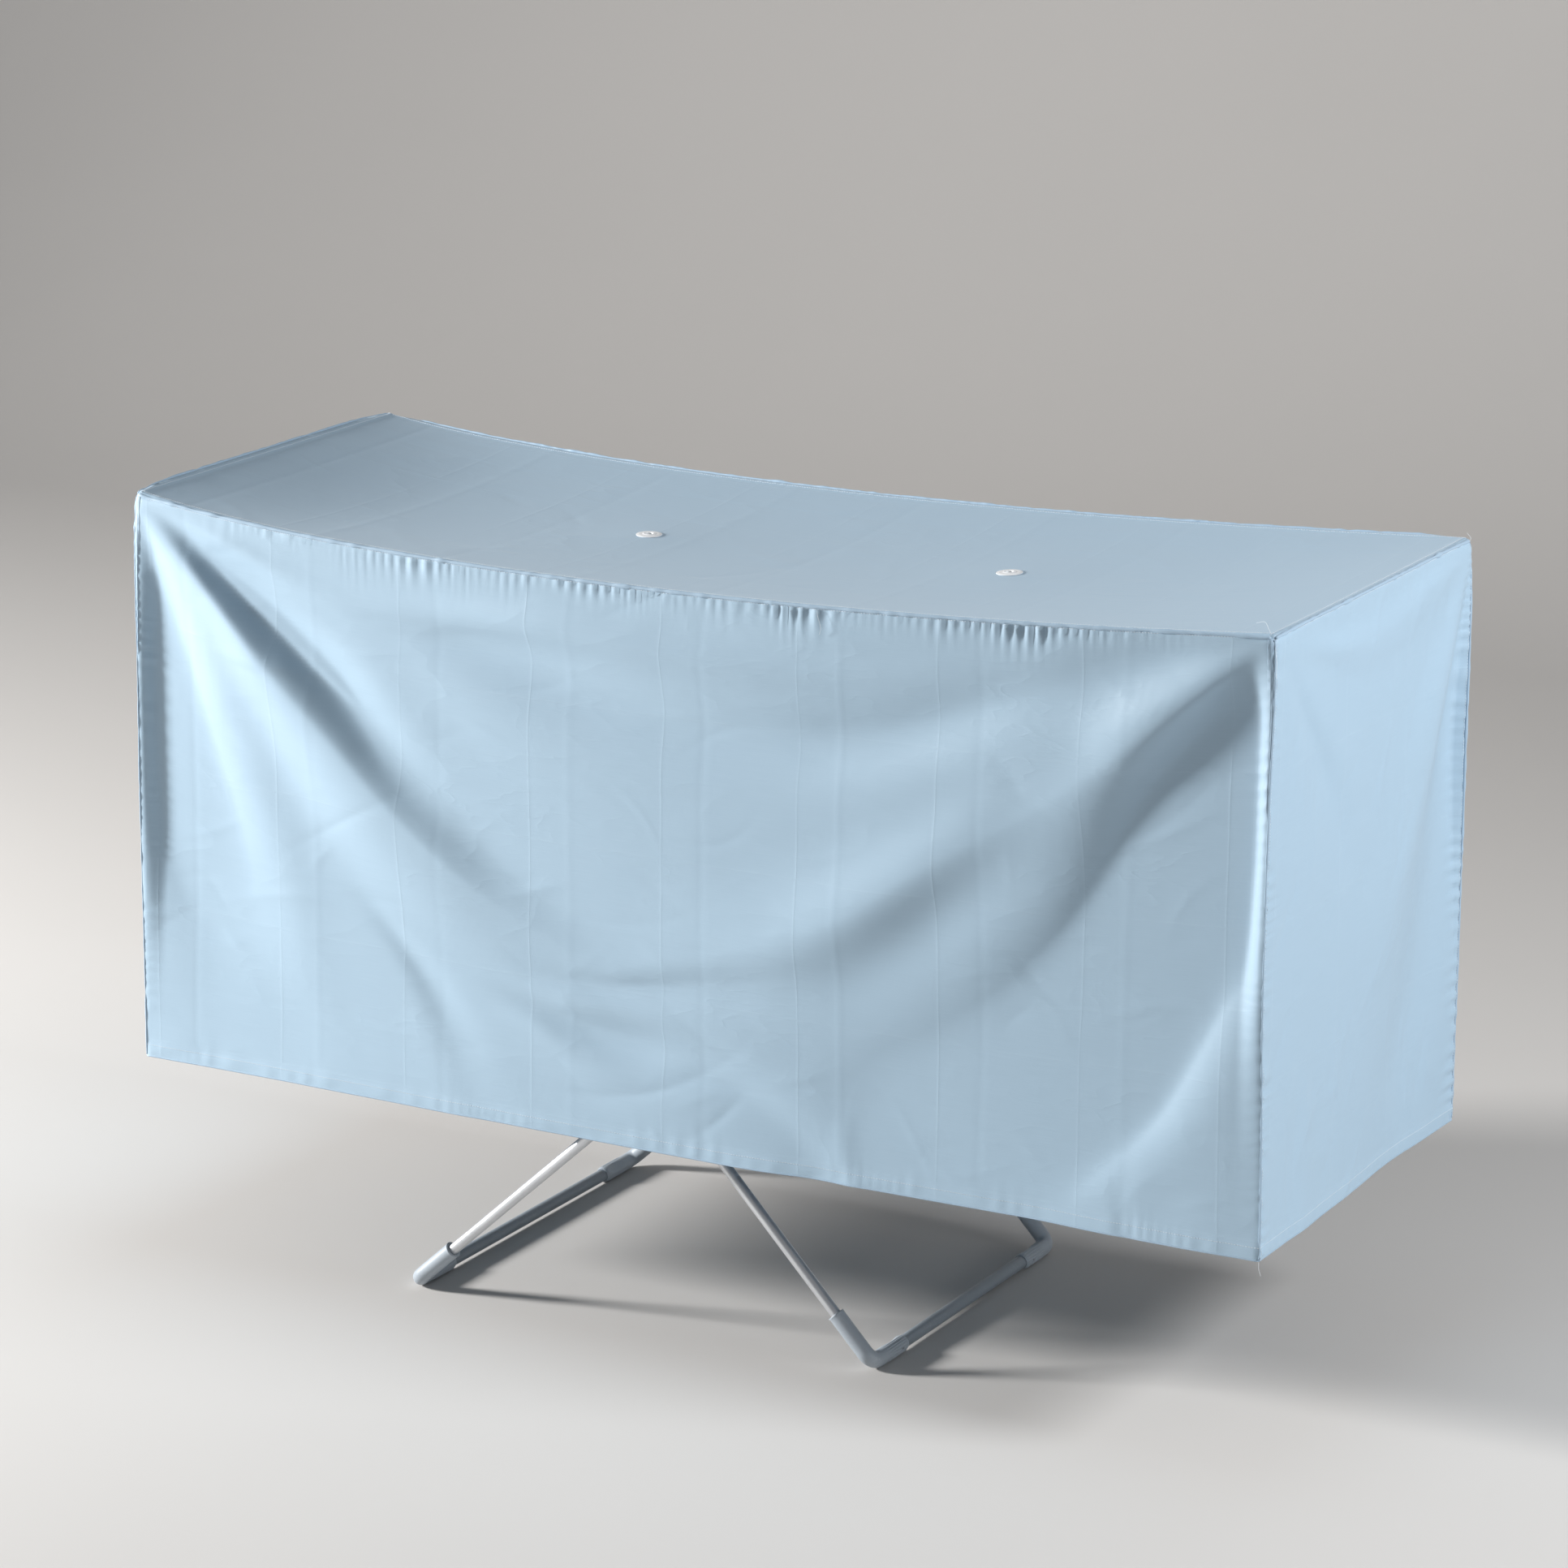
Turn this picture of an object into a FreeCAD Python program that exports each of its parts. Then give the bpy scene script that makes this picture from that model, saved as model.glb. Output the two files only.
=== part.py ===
import FreeCAD, Part
import os

import Sketcher

# A winged X-leg clothes airer standing under a fitted fabric cover.
# +X runs along the airer's length, +Y across it and +Z up. The origin lies on the floor, under
# the middle of the cover. Every size below is in millimetres, and every angle in degrees.

SIZES = {
    # tubes and wires
    "tube_dia": 16,
    "tube_wall": 1.2,
    "bend_radius": 45,
    "rod_dia": 4,
    "rod_pairs": 5,
    "cross_wire_dia": 5,
    # rack: the level frame in the middle, measured between tube centres
    "rack_length": 980,
    "rack_width": 644,
    "rack_level": 840,
    # corner blocks, which hold the rack's tubes and the wings' hinge pins
    "block_wall": 1,
    "block_reach": 24,
    "stop_reach": 20,
    "stop_thick": 12,
    "hinge_out": 15,
    "hinge_gap": 2,
    "ear_radius": 8.5,
    "ear_width": 11,
    "pin_dia": 5,
    "pin_head_dia": 9,
    "pin_head": 1.6,
    # wings
    "wing_length": 476,
    "wing_raise": 36.2,
    "wing_bar_dia": 12,
    "wing_bar_reach": 40,
    "knuckle_reach": 13,
    "knuckle_step": 0.5,
    "spigot_length": 14,
    # legs
    "foot_right": 289,
    "foot_left": 448,
    "leg_drop": 22,
    "bush_wall": 3,
    "hinge_bar_in": 17,
    "catch_bar_in": 60,
    "leg_inset": 11,
    "leg_gap": 14.5,
    # feet
    "foot_bar_dia": 19,
    "elbow_wall": 2.5,
    "lip_stand": 0.5,
    "lip_width": 3,
    "elbow_bend": 17,
    "leg_socket": 85,
    "bar_socket": 92,
    "socket_depth": 45,
    "nib_dia": 4,
    "nib_inset": 22,
    "nib_stand": 0.8,
    # sleeves and catches that hold the legs' top bars
    "sleeve_wall": 4,
    "sleeve_width": 30,
    "catch_arm": 7,
    "catch_hook": 14,
    "spring_thick": 2.4,
    "spring_drop": 8.4,
    # cover
    "cloth": 0.8,
    "cover_drop": 857,
    "cover_sag": 58,
    "cover_end_gap": 2.2,
    "cover_side_gap": 11.2,
    "cover_top_gap": 3,
    "eyelet_left_out": 235,
    "eyelet_right_out": 345,
    "eyelet_dia": 38,
    "eyelet_bore": 11,
    "eyelet_wall": 1.4,
    "eyelet_lip": 1.2,
    "eyelet_gap": 0.1,
    # fits
    "running": 0.05,
    "seat": 0.4,
    # how far a cutting or joining shape goes past the face that it meets
    "spare": 1,
}

# Places worked out from the sizes. Each may use the ones above it.
PLACES = {
    "tube_r": "Sizes.tube_dia / 2",
    "bore_r": "tube_r - Sizes.tube_wall",
    "rack_end": "Sizes.rack_length / 2",
    "rack_side": "Sizes.rack_width / 2",
    "rod_pitch": "Sizes.rack_width / (2 * Sizes.rod_pairs + 1)",
    "sleeve_place": "3 * rod_pitch",
    "sleeve_r": "tube_r + Sizes.sleeve_wall",
    "hinge_x": "rack_end + Sizes.hinge_out",
    "hinge_z": "Sizes.rack_level + Sizes.tube_dia + Sizes.hinge_gap",
    "tip_x": "hinge_x + Sizes.wing_length * cos(Sizes.wing_raise)",
    "tip_z": "hinge_z + Sizes.wing_length * sin(Sizes.wing_raise)",
    "block_top": "hinge_z - tube_r - 2 * Sizes.seat",
    "block_low": "Sizes.rack_level - tube_r - Sizes.block_wall",
    "ear_y": "rack_side - tube_r - Sizes.seat - Sizes.ear_width",
    "leg_top": "Sizes.rack_level - Sizes.leg_drop",
    "elbow_r": "Sizes.foot_bar_dia / 2 + Sizes.elbow_wall",
    "foot_z": "elbow_r + Sizes.lip_stand",
    "leg_rise": "leg_top - foot_z",
    "inner_top_x": "rack_end - Sizes.hinge_bar_in",
    "outer_top_x": "rack_end - Sizes.catch_bar_in",
    "inner_run": "Sizes.foot_right + inner_top_x",
    "outer_run": "Sizes.foot_left + outer_top_x",
    "inner_length": "sqrt(inner_run ^ 2 + leg_rise ^ 2)",
    "outer_length": "sqrt(outer_run ^ 2 + leg_rise ^ 2)",
    "inner_slope": "atan(leg_rise / inner_run)",
    "outer_slope": "atan(leg_rise / outer_run)",
    "cross_share": "(Sizes.foot_right + Sizes.foot_left) / (inner_run + outer_run)",
    "pivot_x": "Sizes.foot_right - cross_share * inner_run",
    "pivot_z": "foot_z + cross_share * leg_rise",
    "outer_leg_y": "rack_side - Sizes.leg_inset",
    "inner_leg_y": "outer_leg_y - Sizes.tube_dia - Sizes.leg_gap",
    "cover_end": "tip_x + tube_r + Sizes.cover_end_gap + Sizes.cloth",
    "cover_side": "rack_side + tube_r + Sizes.cover_side_gap + Sizes.cloth",
    "cover_top_z": "tip_z + tube_r + Sizes.cover_top_gap",
    "hem_z": "cover_top_z - Sizes.cover_drop",
    "sag_r": "(cover_end ^ 2 + Sizes.cover_sag ^ 2) / (2 * Sizes.cover_sag)",
    "sag_z": "cover_top_z - Sizes.cover_sag + sag_r",
    "eyelet_left_tilt": "asin(Sizes.eyelet_left_out / sag_r)",
    "eyelet_right_tilt": "asin(Sizes.eyelet_right_out / sag_r)",
}

SIDES = {"front": -1, "rear": 1}
ENDS = {"left": -1, "right": 1}
X_AXIS, Y_AXIS, Z_AXIS = FreeCAD.Vector(1, 0, 0), FreeCAD.Vector(0, 1, 0), FreeCAD.Vector(0, 0, 1)
ALONG_X = FreeCAD.Rotation(Y_AXIS, 90)
ALONG_Y = FreeCAD.Rotation(X_AXIS, -90)
UPRIGHT = FreeCAD.Rotation()

doc = FreeCAD.newDocument("covered_airer")
nodes = []


def make_sheet(name, cells):
    sheet = doc.addObject("Spreadsheet::Sheet", name)
    for row, (alias, value) in enumerate(cells.items(), start=1):
        sheet.set(f"A{row}", alias)
        sheet.set(f"B{row}", value if isinstance(value, str) else str(value))
        sheet.setAlias(f"B{row}", alias)
    doc.recompute()
    return sheet


sizes = make_sheet("Sizes", SIZES)
places = make_sheet("Places", {alias: "=" + formula for alias, formula in PLACES.items()})
ROD_PAIRS = int(sizes.rod_pairs)


def bind(thing, **formulas):
    """Ties properties to the sheets. A double underscore in a name stands for a dot."""
    for name, formula in formulas.items():
        thing.setExpression(name.replace("__", "."), formula)


def put(thing, at, turn=UPRIGHT):
    """Turns a shape about its own origin and ties where that origin goes."""
    thing.Placement.Rotation = turn
    for letter, formula in zip("xyz", at):
        thing.setExpression(f"Placement.Base.{letter}", formula)
    return thing


def cylinder(name, radius, length, at, turn):
    thing = put(doc.addObject("Part::Cylinder", name), at, turn)
    bind(thing, Radius=radius, Height=length)
    return thing


def box(name, spans, turn=UPRIGHT, at=("0", "0", "0")):
    """A box from a low to a high formula along X, Y and Z."""
    thing = doc.addObject("Part::Box", name)
    lows = [f"{base} + {low}" for base, (low, high) in zip(at, spans)]
    put(thing, lows, turn)
    sides = [f"({high}) - ({low})" for low, high in spans]
    bind(thing, Length=sides[0], Width=sides[1], Height=sides[2])
    return thing


def quarter_bend(name, bend, radius, at, way, side):
    """The quarter of a torus that joins a bar along Y to an arm along X."""
    start = {(1, 1): 90, (1, -1): 180, (-1, 1): 0, (-1, -1): 270}[way, side]
    thing = put(doc.addObject("Part::Torus", name), at, FreeCAD.Rotation(Z_AXIS, start))
    bind(thing, Radius1=bend, Radius2=radius)
    thing.Angle3 = 90
    return thing


def fuse(name, shapes):
    thing = doc.addObject("Part::MultiFuse", name)
    thing.Shapes = shapes
    return thing


def group(name, shapes):
    """Separate solids that are placed as one."""
    thing = doc.addObject("Part::Compound", name)
    thing.Links = shapes
    return thing


def cut(name, base, tool):
    thing = doc.addObject("Part::Cut", name)
    thing.Base, thing.Tool = base, tool
    return thing


def keep(thing, label):
    """Names a finished sub-part."""
    thing.Label = label
    nodes.append(thing)
    return thing


def tilt(thing, at, slope):
    """Places a sub-part and turns it about Y by a tied angle."""
    put(thing, at, FreeCAD.Rotation(Y_AXIS, 1))
    thing.setExpression("Placement.Rotation.Angle", slope)
    return thing


# ---------------------------------------------------------------- bent and straight tubes


def u_tube(label, half_width, length, way, hole=None):
    """A U-bent tube: its bar lies on Y, and its two arms run along X, one way or the other.
    A hole is a radius and a place along the arms, drilled across both."""
    bend = "Sizes.bend_radius"
    bar_at = ("0", f"{bend} - {half_width}", "0")
    parts = [tube_run(label + "_bar", f"2 * ({half_width} - {bend})", bar_at, ALONG_Y)]
    for word, side in SIDES.items():
        centre = (f"{way} * {bend}", f"{side} * ({half_width} - {bend})", "0")
        skins = [
            quarter_bend(f"{label}_{word}_{skin}", bend, radius, centre, way, side)
            for skin, radius in (("outside", "Places.tube_r"), ("inside", "Places.bore_r"))
        ]
        parts.append(cut(f"{label}_{word}_bend", *skins))
        start = bend if way > 0 else f"-({length})"
        arm_at = (start, f"{side} * {half_width}", "0")
        parts.append(tube_run(f"{label}_{word}_arm", f"{length} - {bend}", arm_at, ALONG_X))
    tube = fuse(label + "_whole", parts)
    if hole:
        radius, place = hole
        beyond = f"({half_width} + Sizes.tube_dia)"
        drill = cylinder(label + "_drill", radius, f"2 * {beyond}", (place, f"-{beyond}", "0"), ALONG_Y)
        tube = cut(label + "_drilled", tube, drill)
    return keep(tube, label)


def tube_run(name, length, at, turn, radius="Places.tube_r"):
    """A straight length of tube, open at both ends."""
    outside = cylinder(name + "_outside", radius, length, at, turn)
    inside = cylinder(name + "_inside", f"{radius} - Sizes.tube_wall", length, at, turn)
    return cut(name, outside, inside)


# ---------------------------------------------------------------- turned pieces


def turned_body(label, outline):
    """A PartDesign revolution about its own Z. The outline lists (radius, height) formulas."""
    body = doc.addObject("PartDesign::Body", label + "_body")
    sketch = body.newObject("Sketcher::SketchObject", label + "_outline")
    plane = next(f for f in body.Origin.OriginFeatures if f.Role == "XZ_Plane")
    sketch.AttachmentSupport = (plane, "")
    sketch.MapMode = "FlatFace"
    spots = [FreeCAD.Vector(*(value_of(formula) for formula in spot), 0) for spot in outline]
    count = len(spots)
    for here in range(count):
        sketch.addGeometry(Part.LineSegment(spots[here], spots[(here + 1) % count]))
    for here in range(count):
        sketch.addConstraint(Sketcher.Constraint("Coincident", here, 2, (here + 1) % count, 1))
    for here, (radius, height) in enumerate(outline):
        pin_down(sketch, here, "DistanceX", radius, spots[here].x, -2)
        pin_down(sketch, here, "DistanceY", height, spots[here].y, -1)
    turn = body.newObject("PartDesign::Revolution", label + "_turn")
    turn.Profile = sketch
    turn.ReferenceAxis = (sketch, ["V_Axis"])
    turn.Angle = 360
    doc.recompute()
    return keep(body, label)


def value_of(formula):
    return float(places.evalExpression(formula))


def pin_down(sketch, line, kind, formula, value, axis):
    """Ties the start of a line to the sheet, or to the sketch's axis where it is 0."""
    if formula == "0":
        sketch.addConstraint(Sketcher.Constraint("PointOnObject", line, 1, axis))
        return
    at = sketch.addConstraint(Sketcher.Constraint(kind, -1, 1, line, 1, value))
    sketch.setExpression(f"Constraints[{at}]", formula)


def rivet_outline(length):
    """A shank between two flat heads. The length is between the heads' inner faces."""
    shank, head, thick = "Sizes.pin_dia / 2", "Sizes.pin_head_dia / 2", "Sizes.pin_head"
    return [
        ("0", "0"), (head, "0"), (head, thick), (shank, thick),
        (shank, f"{thick} + {length}"), (head, f"{thick} + {length}"),
        (head, f"2 * {thick} + {length}"), ("0", f"2 * {thick} + {length}"),
    ]


# ---------------------------------------------------------------- legs


def leg_frame(name, way, foot_x, half_width, length, slope, top_x, hole):
    """One U-bent leg tube with its foot bar, two foot elbows and their nibs."""
    reach = f"{length} - Sizes.leg_socket + Sizes.socket_depth"
    pivot_at = f"{way} * ({length} * (1 - Places.cross_share))"
    tube = u_tube(name + "_leg_tube", half_width, reach, way, (hole, pivot_at))
    tilt(tube, (top_x, "0", "Places.leg_top"), slope)
    bar_half = f"({half_width} - Sizes.bar_socket + Sizes.socket_depth)"
    bar_at = (foot_x, f"-{bar_half}", "Places.foot_z")
    bar = tube_run(name + "_bar_tube", f"2 * {bar_half}", bar_at, ALONG_Y, "Sizes.foot_bar_dia / 2")
    keep(bar, name + "_foot_bar")
    nibs = []
    for word, side in SIDES.items():
        foot_elbow(f"{name}_foot_{word}", -way, side, foot_x, half_width, slope)
        nibs.append(foot_nib(f"{name}_nib_{word}", way, side, foot_x, half_width))
    keep(group(name + "_nibs", nibs), name + "_foot_nibs")


def foot_elbow(label, way, side, foot_x, half_width, slope):
    """A plastic elbow: one socket for the leg along X, and one for the foot bar along Y."""
    bend, radius = "Sizes.elbow_bend", "Places.elbow_r"
    arms = [("leg", "Sizes.leg_socket"), ("bar", "Sizes.bar_socket")]
    centre = (f"{way} * {bend}", f"{-side} * {bend}", "0")
    solids, hollows = [quarter_bend(label + "_corner", bend, radius, centre, way, side)], []
    for word, reach in arms:
        sign = way if word == "leg" else -side
        solids.append(elbow_run(f"{label}_{word}", word, sign, radius, bend, reach))
        lip, start = f"{radius} + Sizes.lip_stand", f"({reach} - Sizes.lip_width)"
        solids.append(elbow_run(f"{label}_{word}_lip", word, sign, lip, start, reach))
        inside = "Places.tube_r" if word == "leg" else "Sizes.foot_bar_dia / 2"
        deep = f"({reach} - Sizes.socket_depth)"
        fit = f"{inside} + Sizes.running"
        hollows.append(elbow_run(f"{label}_{word}_bore", word, sign, fit, deep, f"{reach} + Sizes.spare"))
    elbow = cut(label + "_elbow", fuse(label + "_solid", solids), fuse(label + "_bores", hollows))
    # The turn about Y tilts the leg's arm and leaves the bar's arm level.
    tilt(elbow, (foot_x, f"{side} * {half_width}", "Places.foot_z"), slope)
    return keep(elbow, label)


def elbow_run(name, word, sign, radius, start, end):
    """A cylinder from start to end along one of the elbow's two arms."""
    low = start if sign > 0 else f"-({end})"
    at = (low, "0", "0") if word == "leg" else ("0", low, "0")
    turn = ALONG_X if word == "leg" else ALONG_Y
    return cylinder(name, radius, f"({end}) - ({start})", at, turn)


def foot_nib(name, way, side, foot_x, half_width):
    """The end of the pin that locks the foot bar in its socket, on the elbow's far side."""
    along = f"{side} * ({half_width} - Sizes.bar_socket + Sizes.nib_inset)"
    reach = f"{way} * (Places.elbow_r + Sizes.nib_stand)"
    at = (f"{foot_x} + {reach}", along, "Places.foot_z")
    turn = FreeCAD.Rotation(Y_AXIS, -90 * way)
    return cylinder(name, "Sizes.nib_dia / 2", "Sizes.nib_stand", at, turn)


def leg_pivots():
    """The rivets that join the leg frames where they cross, and the bushes between the tubes."""
    low = "(Places.inner_leg_y - Places.tube_r)"
    high = "(Places.outer_leg_y + Places.tube_r)"
    for word, side in SIDES.items():
        rivet = turned_body(f"leg_rivet_{word}", rivet_outline(f"({high} - {low} + Sizes.seat)"))
        start = f"{side} * ({low} - Sizes.pin_head)"
        turn = FreeCAD.Rotation(X_AXIS, -90 * side)
        put(rivet, ("Places.pivot_x", start, "Places.pivot_z"), turn)
        outer, inner = "Sizes.pin_dia / 2 + Sizes.bush_wall", "Sizes.pin_dia / 2"
        gap = "Sizes.leg_gap - 2 * Sizes.seat"
        outline = [(inner, "0"), (outer, "0"), (outer, gap), (inner, gap)]
        bush = turned_body(f"leg_bush_{word}", outline)
        seat = f"{side} * (Places.inner_leg_y + Places.tube_r + Sizes.seat)"
        put(bush, ("Places.pivot_x", seat, "Places.pivot_z"), turn)


# ---------------------------------------------------------------- rack


def rack():
    run = "2 * (Places.rack_end - Places.tube_r - Sizes.seat)"
    for word, side in SIDES.items():
        at = (f"-({run}) / 2", f"{side} * Places.rack_side", "Sizes.rack_level")
        keep(tube_run(f"side_{word}", run, at, ALONG_X), f"rack_side_tube_{word}")
    half = "(Places.rack_side - Places.tube_r - Sizes.seat)"
    for word, end in ENDS.items():
        at = (f"{end} * Places.rack_end", f"-{half}", "Sizes.rack_level")
        keep(tube_run(f"end_{word}", f"2 * {half}", at, ALONG_Y), f"rack_end_tube_{word}")
    rods = [rod(f"rack_rod_{at}", at, "Places.rack_end - Places.tube_r") for at in rod_places()]
    keep(put(group("rack_rod_group", rods), ("0", "0", "Sizes.rack_level")), "rack_rods")
    drop = "(Sizes.rod_dia + Sizes.cross_wire_dia) / 2"
    reach = "(Places.rack_side - Places.tube_r)"
    at = ("0", f"-{reach}", f"Sizes.rack_level - {drop}")
    wire = cylinder("cross_wire", "Sizes.cross_wire_dia / 2", f"2 * {reach}", at, ALONG_Y)
    keep(wire, "rack_cross_wire")


def rod_places():
    """Which rods there are, counted from the middle in half steps of the pitch."""
    return [sign * (step + 0.5) for step in range(ROD_PAIRS) for sign in (-1, 1)]


def rod(name, place, half):
    name = name.replace("-", "n").replace(".", "_")
    at = (f"-({half})", f"{place} * Places.rod_pitch", "0")
    return cylinder(name, "Sizes.rod_dia / 2", f"2 * ({half})", at, ALONG_X)


def corner_block(label, end, side):
    """Holds a side tube's end and an end tube's end, and carries the ear for a wing's pin."""
    outer = "Places.hinge_x + Sizes.stop_reach"
    inner = "Places.rack_end - Sizes.block_reach"
    far = "Places.rack_side + Places.tube_r + Sizes.block_wall"
    near = "Places.ear_y"
    x_span = (inner, outer) if end > 0 else (f"-({outer})", f"-({inner})")
    y_span = (near, far) if side > 0 else (f"-({far})", f"-({near})")
    base = box(label + "_base", [x_span, y_span, ("Places.block_low", "Places.block_top")])
    ear_y = "Places.ear_y" if side > 0 else "-(Places.ear_y + Sizes.ear_width)"
    ear = cylinder(
        label + "_ear", "Sizes.ear_radius", "Sizes.ear_width",
        (f"{end} * Places.hinge_x", ear_y, "Places.hinge_z"), ALONG_Y,
    )
    low, high = "Places.hinge_x - Sizes.ear_radius", "Places.hinge_x + Sizes.ear_radius"
    neck_x = (low, high) if end > 0 else (f"-({high})", f"-({low})")
    neck_y = (ear_y, f"{ear_y} + Sizes.ear_width")
    neck_z = ("Places.block_top - Sizes.spare", "Places.hinge_z")
    neck = box(label + "_neck", [neck_x, neck_y, neck_z])
    solid = fuse(label + "_solid", [base, ear, neck, wing_stop(label + "_stop", end, side)])
    side_start = inner if end > 0 else "-(Places.rack_end - Places.tube_r - Sizes.seat)"
    side_bore = cylinder(
        label + "_side_bore", "Places.tube_r", "Sizes.block_reach - Places.tube_r - Sizes.seat",
        (side_start, f"{side} * Places.rack_side", "Sizes.rack_level"), ALONG_X,
    )
    end_start = near if side > 0 else "-(Places.rack_side - Places.tube_r - Sizes.seat)"
    end_bore = cylinder(
        label + "_end_bore", "Places.tube_r", "Sizes.ear_width",
        (f"{end} * Places.rack_end", end_start, "Sizes.rack_level"), ALONG_Y,
    )
    pin_bore = cylinder(
        label + "_pin_bore", "Sizes.pin_dia / 2", "Sizes.ear_width",
        (f"{end} * Places.hinge_x", ear_y, "Places.hinge_z"), ALONG_Y,
    )
    hollows = fuse(label + "_bores", [side_bore, end_bore, pin_bore])
    return keep(cut(label + "_block", solid, hollows), label)


def wing_stop(name, end, side):
    """The lug that a raised wing's arm rests on, just clear of the tube's underside."""
    x_span = ("0", "Sizes.stop_reach") if end > 0 else ("-Sizes.stop_reach", "0")
    y_span, high = ("-Places.tube_r", "Places.tube_r"), "-Places.tube_r - Sizes.seat"
    lug = box(name + "_lug", [x_span, y_span, (f"{high} - Sizes.stop_thick", high)])
    at = (f"{end} * Places.hinge_x", f"{side} * Places.rack_side", "Places.hinge_z")
    return tilt(group(name, [lug]), at, f"{-end} * Sizes.wing_raise")


def leg_sleeve(label, side):
    """A double sleeve: it grips the rack's left end tube, and the inner legs' bar turns in it."""
    start = f"{side} * Places.sleeve_place - Sizes.sleeve_width / 2"
    centres = {
        "grip": ("-Places.rack_end", start, "Sizes.rack_level"),
        "turn": ("-Places.inner_top_x", start, "Places.leg_top"),
    }
    fits = {"grip": "Places.tube_r", "turn": "Places.tube_r + Sizes.running"}
    outside = [
        cylinder(f"{label}_{word}", "Places.sleeve_r", "Sizes.sleeve_width", at, ALONG_Y)
        for word, at in centres.items()
    ]
    web = box(label + "_web", [
        ("-Places.rack_end", "-Places.inner_top_x"),
        (start, f"{start} + Sizes.sleeve_width"),
        ("Places.leg_top", "Sizes.rack_level"),
    ])
    bores = [
        cylinder(f"{label}_{word}_bore", fits[word], "Sizes.sleeve_width", at, ALONG_Y)
        for word, at in centres.items()
    ]
    solid, hollows = fuse(label + "_solid", [*outside, web]), fuse(label + "_bores", bores)
    return keep(cut(label + "_sleeve", solid, hollows), label)


def leg_catch(label, side):
    """Grips the rack's right end tube and reaches in over the outer legs' top bar."""
    start = f"{side} * Places.sleeve_place - Sizes.sleeve_width / 2"
    across = (start, f"{start} + Sizes.sleeve_width")
    grip_at = ("Places.rack_end", start, "Sizes.rack_level")
    grip = cylinder(label + "_grip", "Places.sleeve_r", "Sizes.sleeve_width", grip_at, ALONG_Y)
    hook_in = "Places.outer_top_x - Places.tube_r - Sizes.seat"
    arm_low = "Places.leg_top + Places.tube_r + Sizes.seat"
    arm = box(label + "_arm", [
        (f"{hook_in} - Sizes.catch_arm", "Places.rack_end"), across,
        (arm_low, f"{arm_low} + Sizes.catch_arm"),
    ])
    hook = box(label + "_hook", [
        (f"{hook_in} - Sizes.catch_arm", hook_in), across,
        (f"{arm_low} - Sizes.catch_hook", f"{arm_low} + Sizes.catch_arm"),
    ])
    bore = cylinder(label + "_bore", "Places.tube_r", "Sizes.sleeve_width", grip_at, ALONG_Y)
    keep(cut(label + "_clamp", fuse(label + "_solid", [grip, arm, hook]), bore), label)
    lip_x = "Places.outer_top_x + Places.tube_r + Sizes.seat"
    lip = box(label + "_lip", [
        (lip_x, f"{lip_x} + Sizes.spring_thick"), across,
        (f"{arm_low} - Sizes.spring_drop", arm_low),
    ])
    keep(lip, label.replace("leg_catch", "catch_spring"))


# ---------------------------------------------------------------- wings


def wing(name, end):
    """A U-bent tube whose arms end in knuckles on the rack's pins, with a bar and drying rods."""
    way, slope = -end, f"{-end} * Sizes.wing_raise"
    tip = (f"{end} * Places.tip_x", "0", "Places.tip_z")
    hinge = (f"{end} * Places.hinge_x", "0", "Places.hinge_z")
    arms = "Sizes.wing_length - Sizes.knuckle_reach"
    tilt(u_tube(name + "_tube", "Places.rack_side", f"({arms})", way), tip, slope)
    half = "(Places.rack_side - Places.tube_r)"
    at = (f"{end} * Sizes.wing_bar_reach", f"-{half}", "0")
    bar = cylinder(name + "_cross_bar", "Sizes.wing_bar_dia / 2", f"2 * {half}", at, ALONG_Y)
    keep(tilt(group(name + "_bar_place", [bar]), hinge, slope), name + "_bar")
    low = "Sizes.wing_bar_reach + Sizes.wing_bar_dia / 2"
    high = "Sizes.wing_length - Places.tube_r"
    start = low if end > 0 else f"-({high})"
    rods = []
    for place in rod_places():
        tag = str(place).replace("-", "n").replace(".", "_")
        at = (start, f"{place} * Places.rod_pitch", "0")
        length = f"({high}) - ({low})"
        rods.append(cylinder(f"{name}_rod_{tag}", "Sizes.rod_dia / 2", length, at, ALONG_X))
    keep(tilt(group(name + "_rod_group", rods), hinge, slope), name + "_rods")
    for word, side in SIDES.items():
        wing_knuckle(f"{name}_knuckle_{word}", end, side, slope)
        wing_pin(f"{name}_pin_{word}", end, side)


def wing_knuckle(label, end, side, slope):
    """A plastic eye that turns on the rack's pin, with a spigot that plugs the wing's tube."""
    width, radius = "Sizes.tube_dia", "Places.tube_r"
    eye = cylinder(label + "_eye", radius, width, ("0", f"-{radius}", "0"), ALONG_Y)
    reach = "Sizes.knuckle_reach"
    neck_start = "0" if end > 0 else f"-{reach}"
    slim = f"{radius} - Sizes.knuckle_step"
    neck = cylinder(label + "_neck", slim, reach, (neck_start, "0", "0"), ALONG_X)
    plug_start = reach if end > 0 else f"-({reach} + Sizes.spigot_length)"
    plug = cylinder(
        label + "_spigot", "Places.bore_r - Sizes.running", "Sizes.spigot_length",
        (plug_start, "0", "0"), ALONG_X,
    )
    bore = cylinder(
        label + "_bore", "Sizes.pin_dia / 2 + Sizes.running", f"{width} + 2 * Sizes.spare",
        ("0", f"-{radius} - Sizes.spare", "0"), ALONG_Y,
    )
    knuckle = cut(label + "_piece", fuse(label + "_solid", [eye, neck, plug]), bore)
    at = (f"{end} * Places.hinge_x", f"{side} * Places.rack_side", "Places.hinge_z")
    return keep(tilt(knuckle, at, slope), label)


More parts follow.
